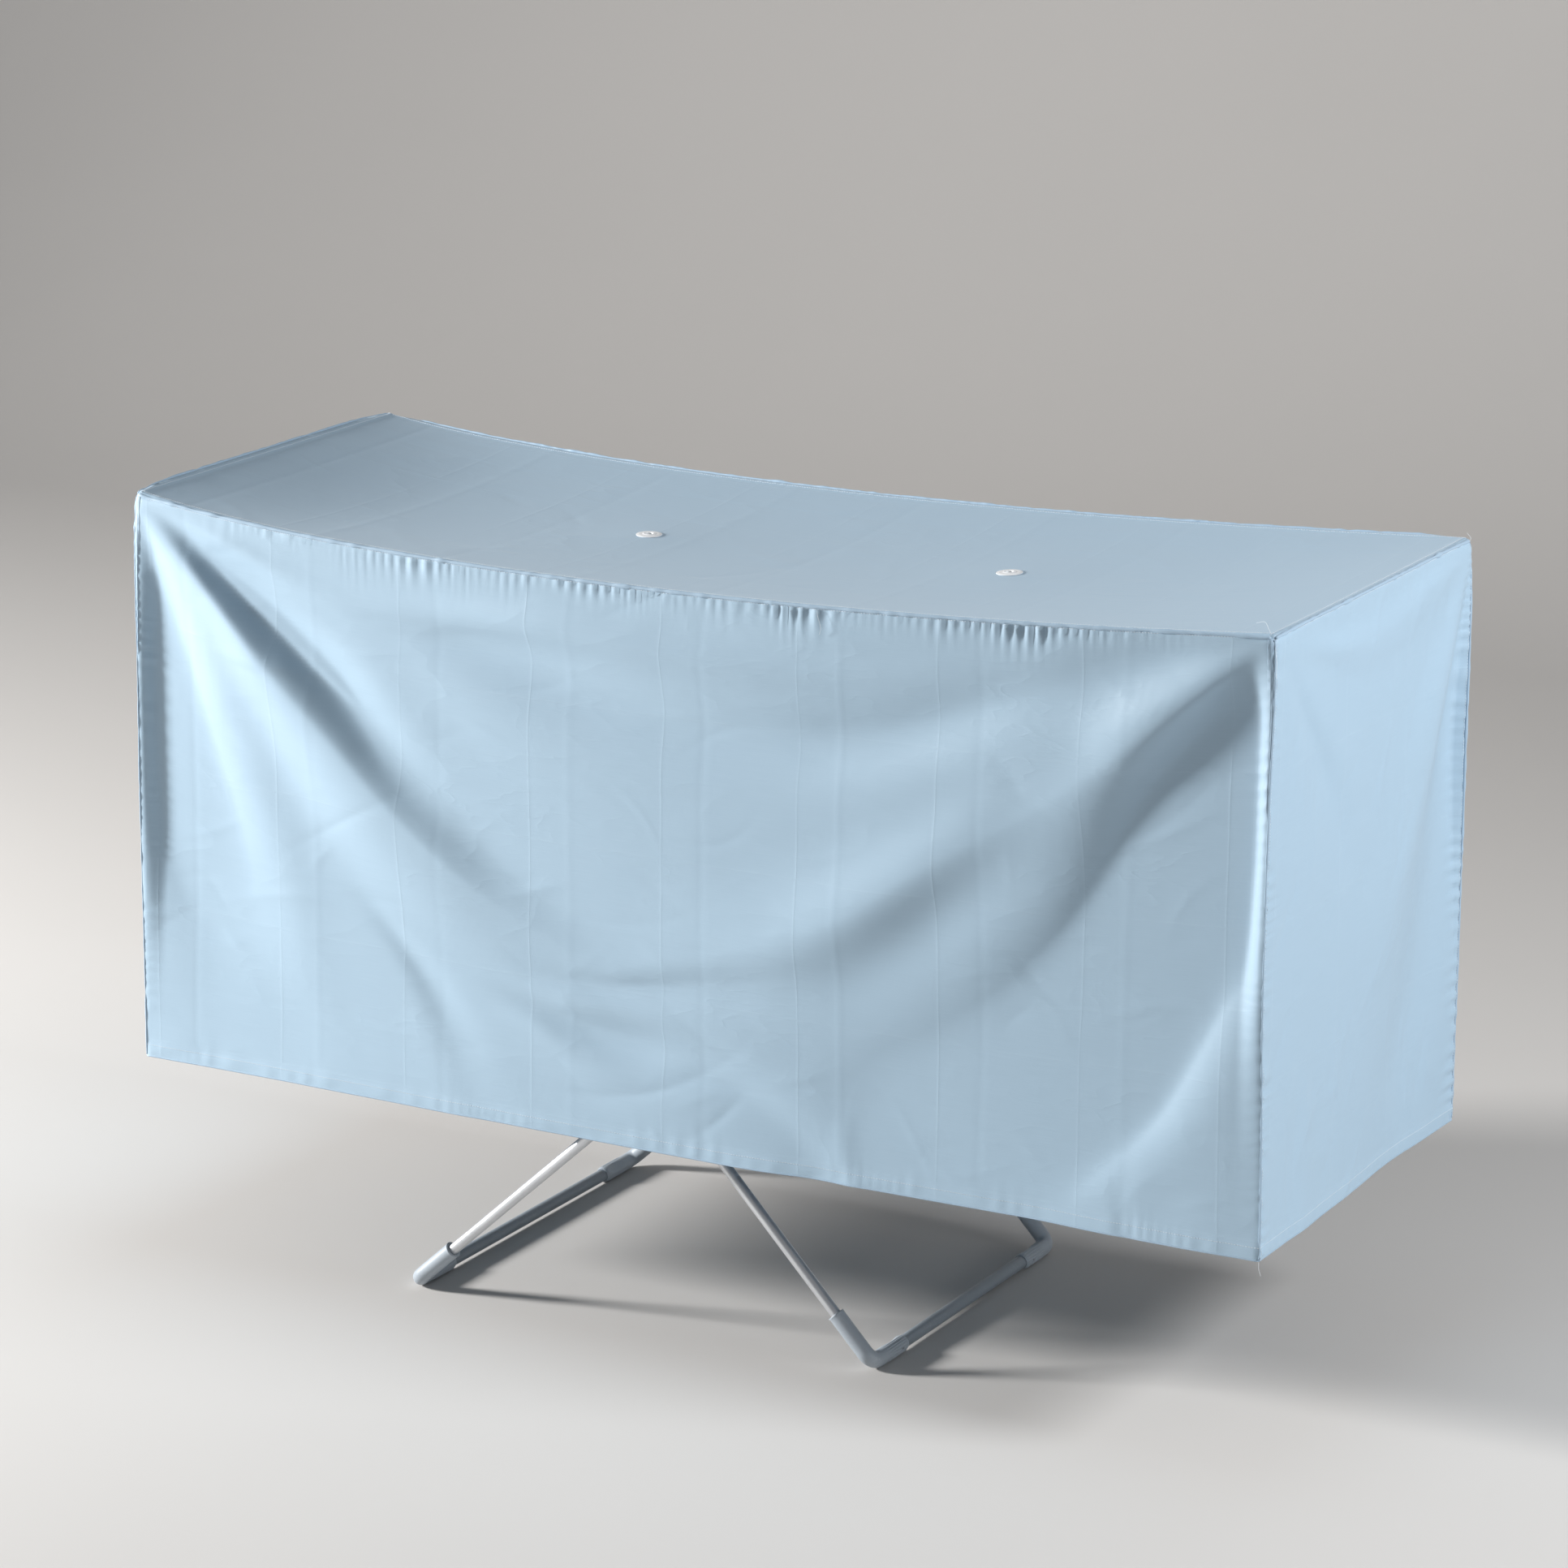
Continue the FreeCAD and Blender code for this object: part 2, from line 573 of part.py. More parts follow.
def wing_pin(label, end, side):
    """The rivet through a corner block's ear and a wing's knuckle."""
    length = "(Sizes.ear_width + Sizes.tube_dia + 3 * Sizes.seat)"
    pin = turned_body(label, rivet_outline(length))
    start = f"{side} * (Places.ear_y - Sizes.pin_head)"
    turn = FreeCAD.Rotation(X_AXIS, -90 * side)
    put(pin, (f"{end} * Places.hinge_x", start, "Places.hinge_z"), turn)


# ---------------------------------------------------------------- cover


def sagging_cylinder(name, radius):
    """The long cylinder whose lowest stretch is the line that the cover's top sags along."""
    half = "(Places.cover_side + Sizes.spare)"
    return cylinder(name, radius, f"2 * {half}", ("0", f"-{half}", "Places.sag_z"), ALONG_Y)


def cover_panel(label, spans):
    """A side panel whose top edge follows the underside of the sagging top."""
    above = sagging_cylinder(label + "_sag", "Places.sag_r + Sizes.cloth")
    return keep(cut(label + "_cut", box(label + "_cloth", spans), above), label)


def cover():
    end, side, cloth = "Places.cover_end", "Places.cover_side", "Sizes.cloth"
    full_x, full_y = (f"-{end}", end), (f"-{side}", side)
    high = ("Places.hem_z", "Places.cover_top_z")
    top_low = "Places.cover_top_z - Sizes.cover_sag - 2 * Sizes.cloth"
    outline = box("top_outline", [full_x, full_y, (top_low, high[1])])
    outside = sagging_cylinder("top_outside", "Places.sag_r + Sizes.cloth")
    shell = cut("top_shell", outside, sagging_cylinder("top_inside", "Places.sag_r"))
    slab = doc.addObject("Part::Common", "top_slab")
    slab.Base, slab.Tool = shell, outline
    holes = fuse("top_holes", [eyelet_hole(word) for word in ENDS])
    keep(cut("cover_top_piece", slab, holes), "cover_top")
    cover_panel("cover_front", [full_x, (f"-{side}", f"-{side} + {cloth}"), high])
    cover_panel("cover_back", [full_x, (f"{side} - {cloth}", side), high])
    between = (f"-{side} + {cloth}", f"{side} - {cloth}")
    cover_panel("cover_left", [(f"-{end}", f"-{end} + {cloth}"), between, high])
    cover_panel("cover_right", [(f"{end} - {cloth}", end), between, high])
    for word in ENDS:
        eyelet(word)


def on_sag(thing, word, down="0"):
    """Stands a turned piece on the sagging top, its Z along the cloth's normal, sunk by down."""
    sign, lean = ENDS[word], f"Places.eyelet_{word}_tilt"
    at = (
        f"{sign} * (Sizes.eyelet_{word}_out + ({down}) * sin({lean}))",
        "0",
        f"Places.sag_z - (Places.sag_r + {down}) * cos({lean})",
    )
    return tilt(thing, at, f"{-sign} * {lean}")


def eyelet_hole(word):
    radius, deep = "Sizes.eyelet_bore / 2 + Sizes.eyelet_wall", "4 * Sizes.cloth"
    drill = cylinder(f"eyelet_hole_{word}", radius, f"2 * {deep}", ("0", "0", f"-{deep}"), UPRIGHT)
    return on_sag(group(f"eyelet_drill_{word}", [drill]), word)


def eyelet(word):
    """A flanged eyelet pushed down through the top, and the washer that it is set into below."""
    bore, wide = "Sizes.eyelet_bore / 2", "Sizes.eyelet_dia / 2"
    barrel = f"{bore} + Sizes.eyelet_wall"
    deep = "Sizes.cloth + Sizes.eyelet_gap + Sizes.eyelet_lip"
    flange = f"{deep} + Sizes.eyelet_gap"
    ring = turned_body(f"eyelet_{word}", [
        (bore, "0"), (barrel, "0"), (barrel, flange), (wide, flange),
        (wide, f"{flange} + Sizes.eyelet_lip"), (bore, f"{flange} + Sizes.eyelet_lip"),
    ])
    washer = turned_body(f"eyelet_washer_{word}", [
        (barrel, "0"), (wide, "0"), (wide, "Sizes.eyelet_lip"), (barrel, "Sizes.eyelet_lip"),
    ])
    for piece in (ring, washer):
        on_sag(piece, word, deep)


# ---------------------------------------------------------------- the whole airer


def build():
    leg_frame(
        "inner", 1, "Sizes.foot_right", "Places.inner_leg_y", "Places.inner_length",
        "Places.inner_slope", "-Places.inner_top_x", "Sizes.pin_dia / 2",
    )
    leg_frame(
        "outer", -1, "-Sizes.foot_left", "Places.outer_leg_y", "Places.outer_length",
        "-Places.outer_slope", "Places.outer_top_x", "Sizes.pin_dia / 2 + Sizes.running",
    )
    leg_pivots()
    rack()
    for end_word, end in ENDS.items():
        for side_word, side in SIDES.items():
            corner_block(f"corner_block_{end_word}_{side_word}", end, side)
        wing(f"{end_word}_wing", end)
    for word, side in SIDES.items():
        leg_sleeve(f"leg_sleeve_{word}", side)
        leg_catch(f"leg_catch_{word}", side)
    cover()
    doc.recompute()


def check():
    """Stops before anything is written if an object failed or a sub-part has no sound shape."""
    for thing in doc.Objects:
        if "Invalid" in thing.State or "Error" in thing.State:
            raise RuntimeError(f"{thing.Label} failed: {thing.State}")
    for node in nodes:
        if node.Shape.isNull() or not node.Shape.isValid() or not node.Shape.Solids:
            raise RuntimeError(f"{node.Label} has no sound solid")


def write():
    os.makedirs("parts", exist_ok=True)
    for node in nodes:
        node.Shape.exportStep(f"parts/{node.Label}.step")
        print(node.Label, len(node.Shape.Solids), round(node.Shape.Volume), node.Shape.BoundBox)


build()
check()
write()
print(len(nodes), "nodes")
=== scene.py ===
import math

import bpy
import numpy as np
from mathutils import Matrix, Vector


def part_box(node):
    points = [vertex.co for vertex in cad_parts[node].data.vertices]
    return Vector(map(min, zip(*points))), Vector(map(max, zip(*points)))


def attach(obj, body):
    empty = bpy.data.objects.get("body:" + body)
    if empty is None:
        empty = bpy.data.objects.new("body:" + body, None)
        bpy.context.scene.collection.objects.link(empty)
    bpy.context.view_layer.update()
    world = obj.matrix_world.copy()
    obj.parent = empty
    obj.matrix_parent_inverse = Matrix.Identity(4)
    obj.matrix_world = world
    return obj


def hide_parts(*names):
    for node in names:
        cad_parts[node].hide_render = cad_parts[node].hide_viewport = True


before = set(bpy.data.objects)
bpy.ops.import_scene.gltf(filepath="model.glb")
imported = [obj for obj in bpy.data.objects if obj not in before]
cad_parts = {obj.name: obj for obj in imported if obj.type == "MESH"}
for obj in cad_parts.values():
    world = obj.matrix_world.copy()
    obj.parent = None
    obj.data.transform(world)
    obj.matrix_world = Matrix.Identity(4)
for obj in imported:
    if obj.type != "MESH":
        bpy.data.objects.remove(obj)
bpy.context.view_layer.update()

# A clothes airer with raised wings, standing under its fitted cloth cover.
# Metres throughout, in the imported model's frame: X along the airer, Y across it, Z up.

chance = np.random.default_rng(11)

# ---------------------------------------------------------------- sizes

COVER_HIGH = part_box("cover_top")[1]
END_X, SIDE_Y, TOP_Z = COVER_HIGH
HEM_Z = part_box("cover_front")[0].z
LENGTH, WIDTH, DROP = 2 * END_X, 2 * SIDE_Y, TOP_Z - HEM_Z

CELL = 0.02           # one cell of the cloth that hangs
FINE = 4              # how many finished cells go into one of those
SAG = {"front": 0.047, "back": 0.040}
VALLEY = 0.0145       # how far the top dips between its front and back edges
HEM_DEEP = 0.020
ALLOWANCE = 0.014     # the seam allowance turned under each topstitched edge

# ---------------------------------------------------------------- meshes


def make_piece(name, points, faces, material, uv=None):
    """A mesh object with smooth shading. uv holds each point's place on the flat cloth."""
    mesh = bpy.data.meshes.new(name)
    mesh.from_pydata([tuple(point) for point in points], [], [tuple(face) for face in faces])
    mesh.polygons.foreach_set("use_smooth", [True] * len(mesh.polygons))
    mesh.materials.append(material)
    if uv is not None:
        corners = np.empty(len(mesh.loops), np.int32)
        mesh.loops.foreach_get("vertex_index", corners)
        mesh.uv_layers.new(name="flat_cloth").data.foreach_set("uv", uv[corners].ravel())
    piece = bpy.data.objects.new(name, mesh)
    bpy.context.scene.collection.objects.link(piece)
    return piece


def net_faces(numbers, flip=False):
    """The four-sided faces of a net of point numbers laid out in rows."""
    corners = [numbers[:-1, :-1], numbers[:-1, 1:], numbers[1:, 1:], numbers[1:, :-1]]
    faces = np.stack(corners, -1).reshape(-1, 4)
    return faces[:, ::-1] if flip else faces


def unit(vectors):
    lengths = np.linalg.norm(vectors, axis=-1, keepdims=True)
    return vectors / np.maximum(lengths, 1e-12)


def ease(value):
    value = np.clip(value, 0, 1)
    return value * value * (3 - 2 * value)


def smooth_line(points, steps=12):
    """A smooth line through a few given points."""
    points = np.array(points, float)
    matrix = finer(len(points), steps)
    return matrix @ points


def finer(count, times):
    """The matrix that turns a row of points into times as many, on a smooth line through them."""
    steps = (count - 1) * times + 1
    matrix = np.zeros((steps, count + 2))
    for step in range(steps):
        cell = min(step // times, count - 2)
        t = step / times - cell
        pulls = (-t + 2 * t**2 - t**3, 2 - 5 * t**2 + 3 * t**3, t + 4 * t**2 - 3 * t**3, t**3 - t**2)
        matrix[step, cell : cell + 4] += np.array(pulls) / 2
    # Beyond each end the row goes on in line.
    matrix[:, 1] += 2 * matrix[:, 0]
    matrix[:, 2] -= matrix[:, 0]
    matrix[:, -2] += 2 * matrix[:, -1]
    matrix[:, -3] -= matrix[:, -1]
    return matrix[:, 1:-1]


def sweep(centres, sides, ups, outline, closed_path=False):
    """Points and faces of an outline of (side, up) offsets carried along a path."""
    outline = np.array(outline, float)
    points = (
        centres[:, None]
        + sides[:, None] * outline[None, :, 0, None]
        + ups[:, None] * outline[None, :, 1, None]
    )
    count, around = points.shape[:2]
    numbers = np.arange(count * around).reshape(count, around)
    numbers = np.concatenate([numbers, numbers[:, :1]], 1)
    if closed_path:
        numbers = np.concatenate([numbers, numbers[:1]], 0)
    faces = [tuple(face) for face in net_faces(numbers)]
    if not closed_path:
        faces += [tuple(range(around))[::-1], tuple(range((count - 1) * around, count * around))]
    return points.reshape(-1, 3), faces


def joined(parts):
    """Several (points, faces) pairs as one."""
    points, faces, start = [], [], 0
    for part_points, part_faces in parts:
        points.append(part_points)
        faces += [tuple(number + start for number in face) for face in part_faces]
        start += len(part_points)
    return np.concatenate(points), faces


# ---------------------------------------------------------------- shader groups


def add(tree, kind, inputs=None, **settings):
    """A node with its settings, and its inputs set to values or linked from sockets."""
    node = tree.nodes.new(kind)
    for name, value in settings.items():
        setattr(node, name, value)
    for name, value in (inputs or {}).items():
        if isinstance(value, bpy.types.NodeSocket):
            tree.links.new(value, node.inputs[name])
        else:
            node.inputs[name].default_value = value
    return node


def maths(tree, operation, first, second=0.0, third=0.0):
    inputs = {0: first, 1: second, 2: third}
    return add(tree, "ShaderNodeMath", inputs, operation=operation).outputs[0]


def mixed(tree, share, first, second):
    """Two colours mixed. A mix node's colour sockets are its inputs 6 and 7 and its output 2."""
    inputs = {0: share, 6: first, 7: second}
    return add(tree, "ShaderNodeMix", inputs, data_type="RGBA").outputs[2]


def shader_group(name, inputs, outputs):
    """An empty shader group with named sockets. Returns it with its input and output nodes."""
    tree = bpy.data.node_groups.new(name, "ShaderNodeTree")
    for label, (kind, value) in inputs.items():
        socket = tree.interface.new_socket(label, in_out="INPUT", socket_type=kind)
        if value is not None:
            socket.default_value = value
    for label, kind in outputs.items():
        tree.interface.new_socket(label, in_out="OUTPUT", socket_type=kind)
    return tree, tree.nodes.new("NodeGroupInput"), tree.nodes.new("NodeGroupOutput")


FLOAT, VECTOR = "NodeSocketFloat", "NodeSocketVector"
EULER = 2.718


def make_weave():
    """Plain weave: warp and weft threads that pass over and under each other."""
    inputs = {"Place": (VECTOR, None), "Threads per metre": (FLOAT, 1500.0)}
    tree, start, end = shader_group("plain_weave", inputs, {"Height": FLOAT, "Thread shade": FLOAT})
    split = add(tree, "ShaderNodeSeparateXYZ", {0: start.outputs["Place"]})
    turns = maths(tree, "MULTIPLY", start.outputs["Threads per metre"], math.pi)
    warp = maths(tree, "SINE", maths(tree, "MULTIPLY", split.outputs["X"], turns))
    weft = maths(tree, "SINE", maths(tree, "MULTIPLY", split.outputs["Y"], turns))
    crossing = maths(tree, "MULTIPLY", warp, weft)
    height = maths(tree, "MULTIPLY_ADD", crossing, 0.5, 0.5)
    slubs_at = add(tree, "ShaderNodeMapping", {"Vector": start.outputs["Place"], "Scale": (14, 900, 1)})
    slubs = add(tree, "ShaderNodeTexNoise", {"Vector": slubs_at.outputs[0], "Scale": 1.0, "Detail": 2.0})
    tree.links.new(height, end.inputs["Height"])
    tree.links.new(slubs.outputs[0], end.inputs["Thread shade"])
    return tree


def make_packing_folds():
    """The faint square lines left from when the cloth was folded in its packet."""
    inputs = {"Place": (VECTOR, None), "Spacing": (FLOAT, 0.214), "Line width": (FLOAT, 0.0022)}
    tree, start, end = shader_group("packing_folds", inputs, {"Height": FLOAT, "Line": FLOAT})
    drift = add(tree, "ShaderNodeTexNoise", {"Vector": start.outputs["Place"], "Scale": 7.0, "Detail": 1.0})
    split = add(tree, "ShaderNodeSeparateXYZ", {0: start.outputs["Place"]})
    lines = []
    for axis in ("X", "Y"):
        wavy = maths(tree, "MULTIPLY_ADD", drift.outputs[0], 0.004, split.outputs[axis])
        cells = maths(tree, "DIVIDE", wavy, start.outputs["Spacing"])
        nearest = maths(tree, "SUBTRACT", maths(tree, "FRACT", maths(tree, "ADD", cells, 0.37)), 0.5)
        away = maths(tree, "MULTIPLY", maths(tree, "ABSOLUTE", nearest), start.outputs["Spacing"])
        ratio = maths(tree, "DIVIDE", away, start.outputs["Line width"])
        lines.append(maths(tree, "POWER", EULER, maths(tree, "MULTIPLY", ratio, -1.0)))
    line = maths(tree, "MAXIMUM", *lines)
    worn = add(tree, "ShaderNodeTexNoise", {"Vector": start.outputs["Place"], "Scale": 5.0, "Detail": 3.0})
    kept = maths(tree, "MULTIPLY", line, maths(tree, "SMOOTH_MIN", worn.outputs[0], 0.8, 0.1))
    tree.links.new(kept, end.inputs["Height"])
    tree.links.new(kept, end.inputs["Line"])
    return tree


def make_crumple():
    """Fine crisp creases in patches, with smooth cloth between them, as in a thin stiff cloth."""
    inputs = {
        "Place": (VECTOR, None), "Creases per metre": (FLOAT, 30.0), "Patchiness": (FLOAT, 1.0),
        "Stretch": (VECTOR, (1, 1, 1)),
    }
    tree, start, end = shader_group("crumple", inputs, {"Height": FLOAT})
    placed = {"Vector": start.outputs["Place"], "Scale": start.outputs["Stretch"]}
    place = add(tree, "ShaderNodeMapping", placed).outputs[0]
    bend = add(tree, "ShaderNodeTexNoise", {"Vector": place, "Scale": 9.0, "Detail": 2.0})
    bending = {0: bend.outputs["Color"], 1: (0.08, 0.08, 0.08)}
    bent = add(tree, "ShaderNodeVectorMath", bending, operation="MULTIPLY")
    shifted = add(tree, "ShaderNodeVectorMath", {0: place, 1: bent.outputs[0]}, operation="ADD")
    cells = {"Vector": shifted.outputs[0], "Scale": start.outputs["Creases per metre"]}
    folds = add(tree, "ShaderNodeTexNoise", {**cells, "Detail": 2.0, "Roughness": 0.5})
    away = maths(tree, "ABSOLUTE", maths(tree, "SUBTRACT", folds.outputs[0], 0.5))
    ridge = maths(tree, "POWER", EULER, maths(tree, "MULTIPLY", away, -22.0))
    spread = add(tree, "ShaderNodeTexNoise", {"Vector": place, "Scale": 4.5, "Detail": 3.0})
    patch = add(tree, "ShaderNodeMapRange", {0: spread.outputs[0], 1: 0.42, 2: 0.66, 3: 0.0, 4: 1.0})
    bare = maths(tree, "SUBTRACT", patch.outputs[0], 1.0)
    share = maths(tree, "MULTIPLY", start.outputs["Patchiness"], bare)
    height = maths(tree, "MULTIPLY", ridge, maths(tree, "ADD", share, 1.0))
    tree.links.new(height, end.inputs["Height"])
    return tree


def make_grain():
    """Fine uneven grain for paint and moulded plastic, with broad faint patches."""
    inputs = {"Grains per metre": (FLOAT, 2500.0), "Patches per metre": (FLOAT, 12.0)}
    tree, start, end = shader_group("fine_grain", inputs, {"Height": FLOAT, "Patches": FLOAT})
    place = add(tree, "ShaderNodeTexCoord").outputs["Object"]
    grains = {"Vector": place, "Scale": start.outputs["Grains per metre"], "Detail": 2.0}
    patches = {"Vector": place, "Scale": start.outputs["Patches per metre"], "Detail": 4.0}
    tree.links.new(add(tree, "ShaderNodeTexNoise", grains).outputs[0], end.inputs["Height"])
    tree.links.new(add(tree, "ShaderNodeTexNoise", patches).outputs[0], end.inputs["Patches"])
    return tree


def make_scuffs():
    """Thin scratches and rubbed spots, as a mask from 0, untouched, to 1, worn."""
    inputs = {"Scratch length": (VECTOR, (6, 240, 240)), "Amount": (FLOAT, 0.5)}
    tree, start, end = shader_group("scuffs", inputs, {"Worn": FLOAT})
    place = add(tree, "ShaderNodeTexCoord").outputs["Object"]
    drawn = add(tree, "ShaderNodeMapping", {"Vector": place, "Scale": start.outputs["Scratch length"]})
    scratch = add(tree, "ShaderNodeTexNoise", {"Vector": drawn.outputs[0], "Scale": 1.0, "Detail": 3.0})
    rubbed = add(tree, "ShaderNodeTexNoise", {"Vector": place, "Scale": 26.0, "Detail": 5.0})
    both = maths(tree, "MULTIPLY", scratch.outputs[0], rubbed.outputs[0])
    spots = add(tree, "ShaderNodeMapRange", {0: both, 1: 0.30, 2: 0.42, 3: 0.0, 4: 1.0})
    worn = maths(tree, "MULTIPLY", spots.outputs[0], start.outputs["Amount"])
    tree.links.new(worn, end.inputs["Worn"])
    return tree


WEAVE, FOLDS, CRUMPLE = make_weave(), make_packing_folds(), make_crumple()
GRAIN, SCUFFS = make_grain(), make_scuffs()


# ---------------------------------------------------------------- materials


def start_material(name, **values):
    """A material with one Principled shader. Returns the material, its tree and the shader."""
    material = bpy.data.materials.new(name)
    material.use_nodes = True
    tree = material.node_tree
    shader = tree.nodes["Principled BSDF"]
    for label, value in values.items():
        shader.inputs[label.replace("_", " ")].default_value = value
    return material, tree, shader


def use(tree, group, **inputs):
    """Places a shader group. An underscore in an input's name stands for a space."""
    named = {label.replace("_", " "): value for label, value in inputs.items()}
    return add(tree, "ShaderNodeGroup", named, node_tree=group)


def bump(tree, height, strength, distance, normal=None):
    inputs = {"Height": height, "Strength": strength, "Distance": distance}
    if normal:
        inputs["Normal"] = normal
    return add(tree, "ShaderNodeBump", inputs).outputs[0]


def cloth_material(name, colour, deep):
    """Thin blue taffeta: fine weave, packing folds, small creases and a soft satin sheen."""
    material, tree, shader = start_material(
        name, Sheen_Weight=0.08, Sheen_Roughness=0.35, Specular_IOR_Level=0.30, IOR=1.5,
    )
    place = add(tree, "ShaderNodeTexCoord").outputs["UV"]
    weave = use(tree, WEAVE, Place=place, Threads_per_metre=1400.0)
    packed = use(tree, FOLDS, Place=place, Spacing=0.214, Line_width=0.0018)
    small = use(tree, CRUMPLE, Place=place, Creases_per_metre=22.0, Patchiness=1.0, Stretch=(0.5, 1.4, 1))
    broad = use(tree, CRUMPLE, Place=place, Creases_per_metre=6.0, Patchiness=0.6, Stretch=(0.5, 1.2, 1))
    shade = mixed(tree, weave.outputs["Thread shade"], colour, deep)
    # The packing fold lines are painted a little lighter: a painted highlight along the creases.
    fold_line_highlight = mixed(tree, maths(tree, "MULTIPLY", packed.outputs["Line"], 0.08), shade, (0.62, 0.74, 0.86, 1))
    tree.links.new(fold_line_highlight, shader.inputs["Base Color"])
    rough = maths(tree, "MULTIPLY_ADD", weave.outputs["Thread shade"], 0.14, 0.40)
    tree.links.new(rough, shader.inputs["Roughness"])
    normal = bump(tree, broad.outputs[0], 0.16, 0.003)
    normal = bump(tree, small.outputs[0], 0.22, 0.0009, normal)
    normal = bump(tree, packed.outputs["Height"], 0.22, 0.0012, normal)
    normal = bump(tree, weave.outputs["Height"], 0.06, 0.00012, normal)
    tree.links.new(normal, shader.inputs["Normal"])
    return material


def solid_material(
    name, colour, other, roughness, grain=0.25, wear=0.0, worn=None, **values
):
    """Paint, plastic or thread: two close colours in patches, fine grain and light scuffs."""
    material, tree, shader = start_material(name, **values)
    fine = use(tree, GRAIN, Grains_per_metre=2200.0, Patches_per_metre=14.0)
    scuffed = use(tree, SCUFFS, Amount=wear)
    base = mixed(tree, fine.outputs["Patches"], colour, other)
    tree.links.new(mixed(tree, scuffed.outputs["Worn"], base, worn or other), shader.inputs["Base Color"])
    rough = maths(tree, "MULTIPLY_ADD", fine.outputs["Patches"], 0.12, roughness)
    rough = maths(tree, "MULTIPLY_ADD", scuffed.outputs["Worn"], 0.15, rough)
    tree.links.new(rough, shader.inputs["Roughness"])
    normal = bump(tree, fine.outputs["Height"], grain, 0.0002)
    tree.links.new(normal, shader.inputs["Normal"])
    return material


def drawn_metal(name, colour, other, roughness, along, **values):
    """Drawn tube or bright steel, with faint lines that run along it."""
    material, tree, shader = start_material(name, **values)
    place = add(tree, "ShaderNodeTexCoord").outputs["Object"]
    lines_at = add(tree, "ShaderNodeMapping", {"Vector": place, "Scale": along})
    lines = add(tree, "ShaderNodeTexNoise", {"Vector": lines_at.outputs[0], "Scale": 1.0, "Detail": 3.0})
    scuffed = use(tree, SCUFFS, Amount=0.6)
    tree.links.new(mixed(tree, lines.outputs[0], colour, other), shader.inputs["Base Color"])
    rough = maths(tree, "MULTIPLY_ADD", lines.outputs[0], 0.14, roughness)
    rough = maths(tree, "MULTIPLY_ADD", scuffed.outputs["Worn"], 0.2, rough)
    tree.links.new(rough, shader.inputs["Roughness"])
    tree.links.new(bump(tree, lines.outputs[0], 0.15, 0.0002), shader.inputs["Normal"])
    return material


CLOTH = cloth_material("blue_taffeta", (0.385, 0.528, 0.652, 1), (0.425, 0.568, 0.692, 1))
# A darker copy of the cloth for the seams, hem and corner tabs: its darker colour is painted shade, since
# doubled cloth is no darker.
TAPE_PAINTED_SHADE = cloth_material("blue_taffeta_painted_shade", (0.360, 0.490, 0.615, 1), (0.400, 0.530, 0.650, 1))
THREAD = solid_material(
    "white_thread", (0.72, 0.77, 0.82, 1), (0.80, 0.84, 0.88, 1), 0.55, Sheen_Weight=0.3)
FINISHES = {
    "eyelet_plastic": solid_material(
        "eyelet_white", (0.90, 0.92, 0.94, 1), (0.94, 0.95, 0.96, 1), 0.22, 0.05, Coat_Weight=0.25),
    "leg_tube_metal": drawn_metal(
        "leg_silver", (0.62, 0.64, 0.67, 1), (0.78, 0.79, 0.81, 1), 0.28, (30, 400, 30), Metallic=0.75),
    "foot_bar_paint": solid_material(
        "foot_bar_grey", (0.25, 0.29, 0.33, 1), (0.29, 0.33, 0.37, 1), 0.36, 0.3, 0.35, (0.40, 0.44, 0.48, 1)),
    "rack_tube_paint": drawn_metal(
        "rack_silver", (0.64, 0.65, 0.67, 1), (0.76, 0.77, 0.78, 1), 0.30, (20, 300, 300), Metallic=0.7),
    "rod_wire": solid_material(
        "rod_white", (0.74, 0.75, 0.76, 1), (0.80, 0.81, 0.82, 1), 0.32, 0.15, 0.3, (0.60, 0.61, 0.62, 1)),
    "grey_plastic": solid_material(
        "moulded_grey", (0.37, 0.42, 0.47, 1), (0.42, 0.47, 0.52, 1), 0.38, 0.35, 0.4, (0.52, 0.56, 0.60, 1)),
    "rivet_steel": drawn_metal(
        "bright_steel", (0.66, 0.67, 0.68, 1), (0.78, 0.79, 0.80, 1), 0.22, (300, 300, 300), Metallic=1.0),
    "spring_steel": drawn_metal(
        "spring_steel_bright", (0.50, 0.51, 0.53, 1), (0.62, 0.63, 0.65, 1), 0.30, (60, 400, 60), Metallic=1.0),
}


def finish_nodes():
    """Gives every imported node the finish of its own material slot."""
    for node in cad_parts.values():
        slot = node.data.materials[0].name
        if slot in FINISHES:
            node.material_slots[0].material = FINISHES[slot]


# ---------------------------------------------------------------- the cover, before it hangs


def lattice():
    """The cover as one welded net. Gives its points, and each panel's point numbers in rows."""
    cells = [round(side / CELL) for side in (LENGTH, WIDTH, DROP)]
    across, along, down = (range(count + 1) for count in cells)
    numbers = {}

    def number(i, j, k):
        return numbers.setdefault((i, j, k), len(numbers))

    panels = {
        "top": [[number(i, j, 0) for i in across] for j in along],
        "front": [[number(i, 0, k) for i in across] for k in down],
        "back": [[number(i, cells[1], k) for i in across] for k in down],
        "left": [[number(0, j, k) for j in along] for k in down],
        "right": [[number(cells[0], j, k) for j in along] for k in down],
    }
    shares = np.array(list(numbers), float) / cells
    points = np.array((-END_X, -SIDE_Y, TOP_Z)) + shares * (LENGTH, WIDTH, -DROP)
    return points, {name: np.array(rows) for name, rows in panels.items()}


FLIPPED = ("front", "right")
FOLD_GROWTH = 0.30    # how far from its corner a fold has its full height
OUTWARD = {
    "top": (0, 0, 1), "front": (0, -1, 0), "back": (0, 1, 0), "left": (-1, 0, 0), "right": (1, 0, 0),
}

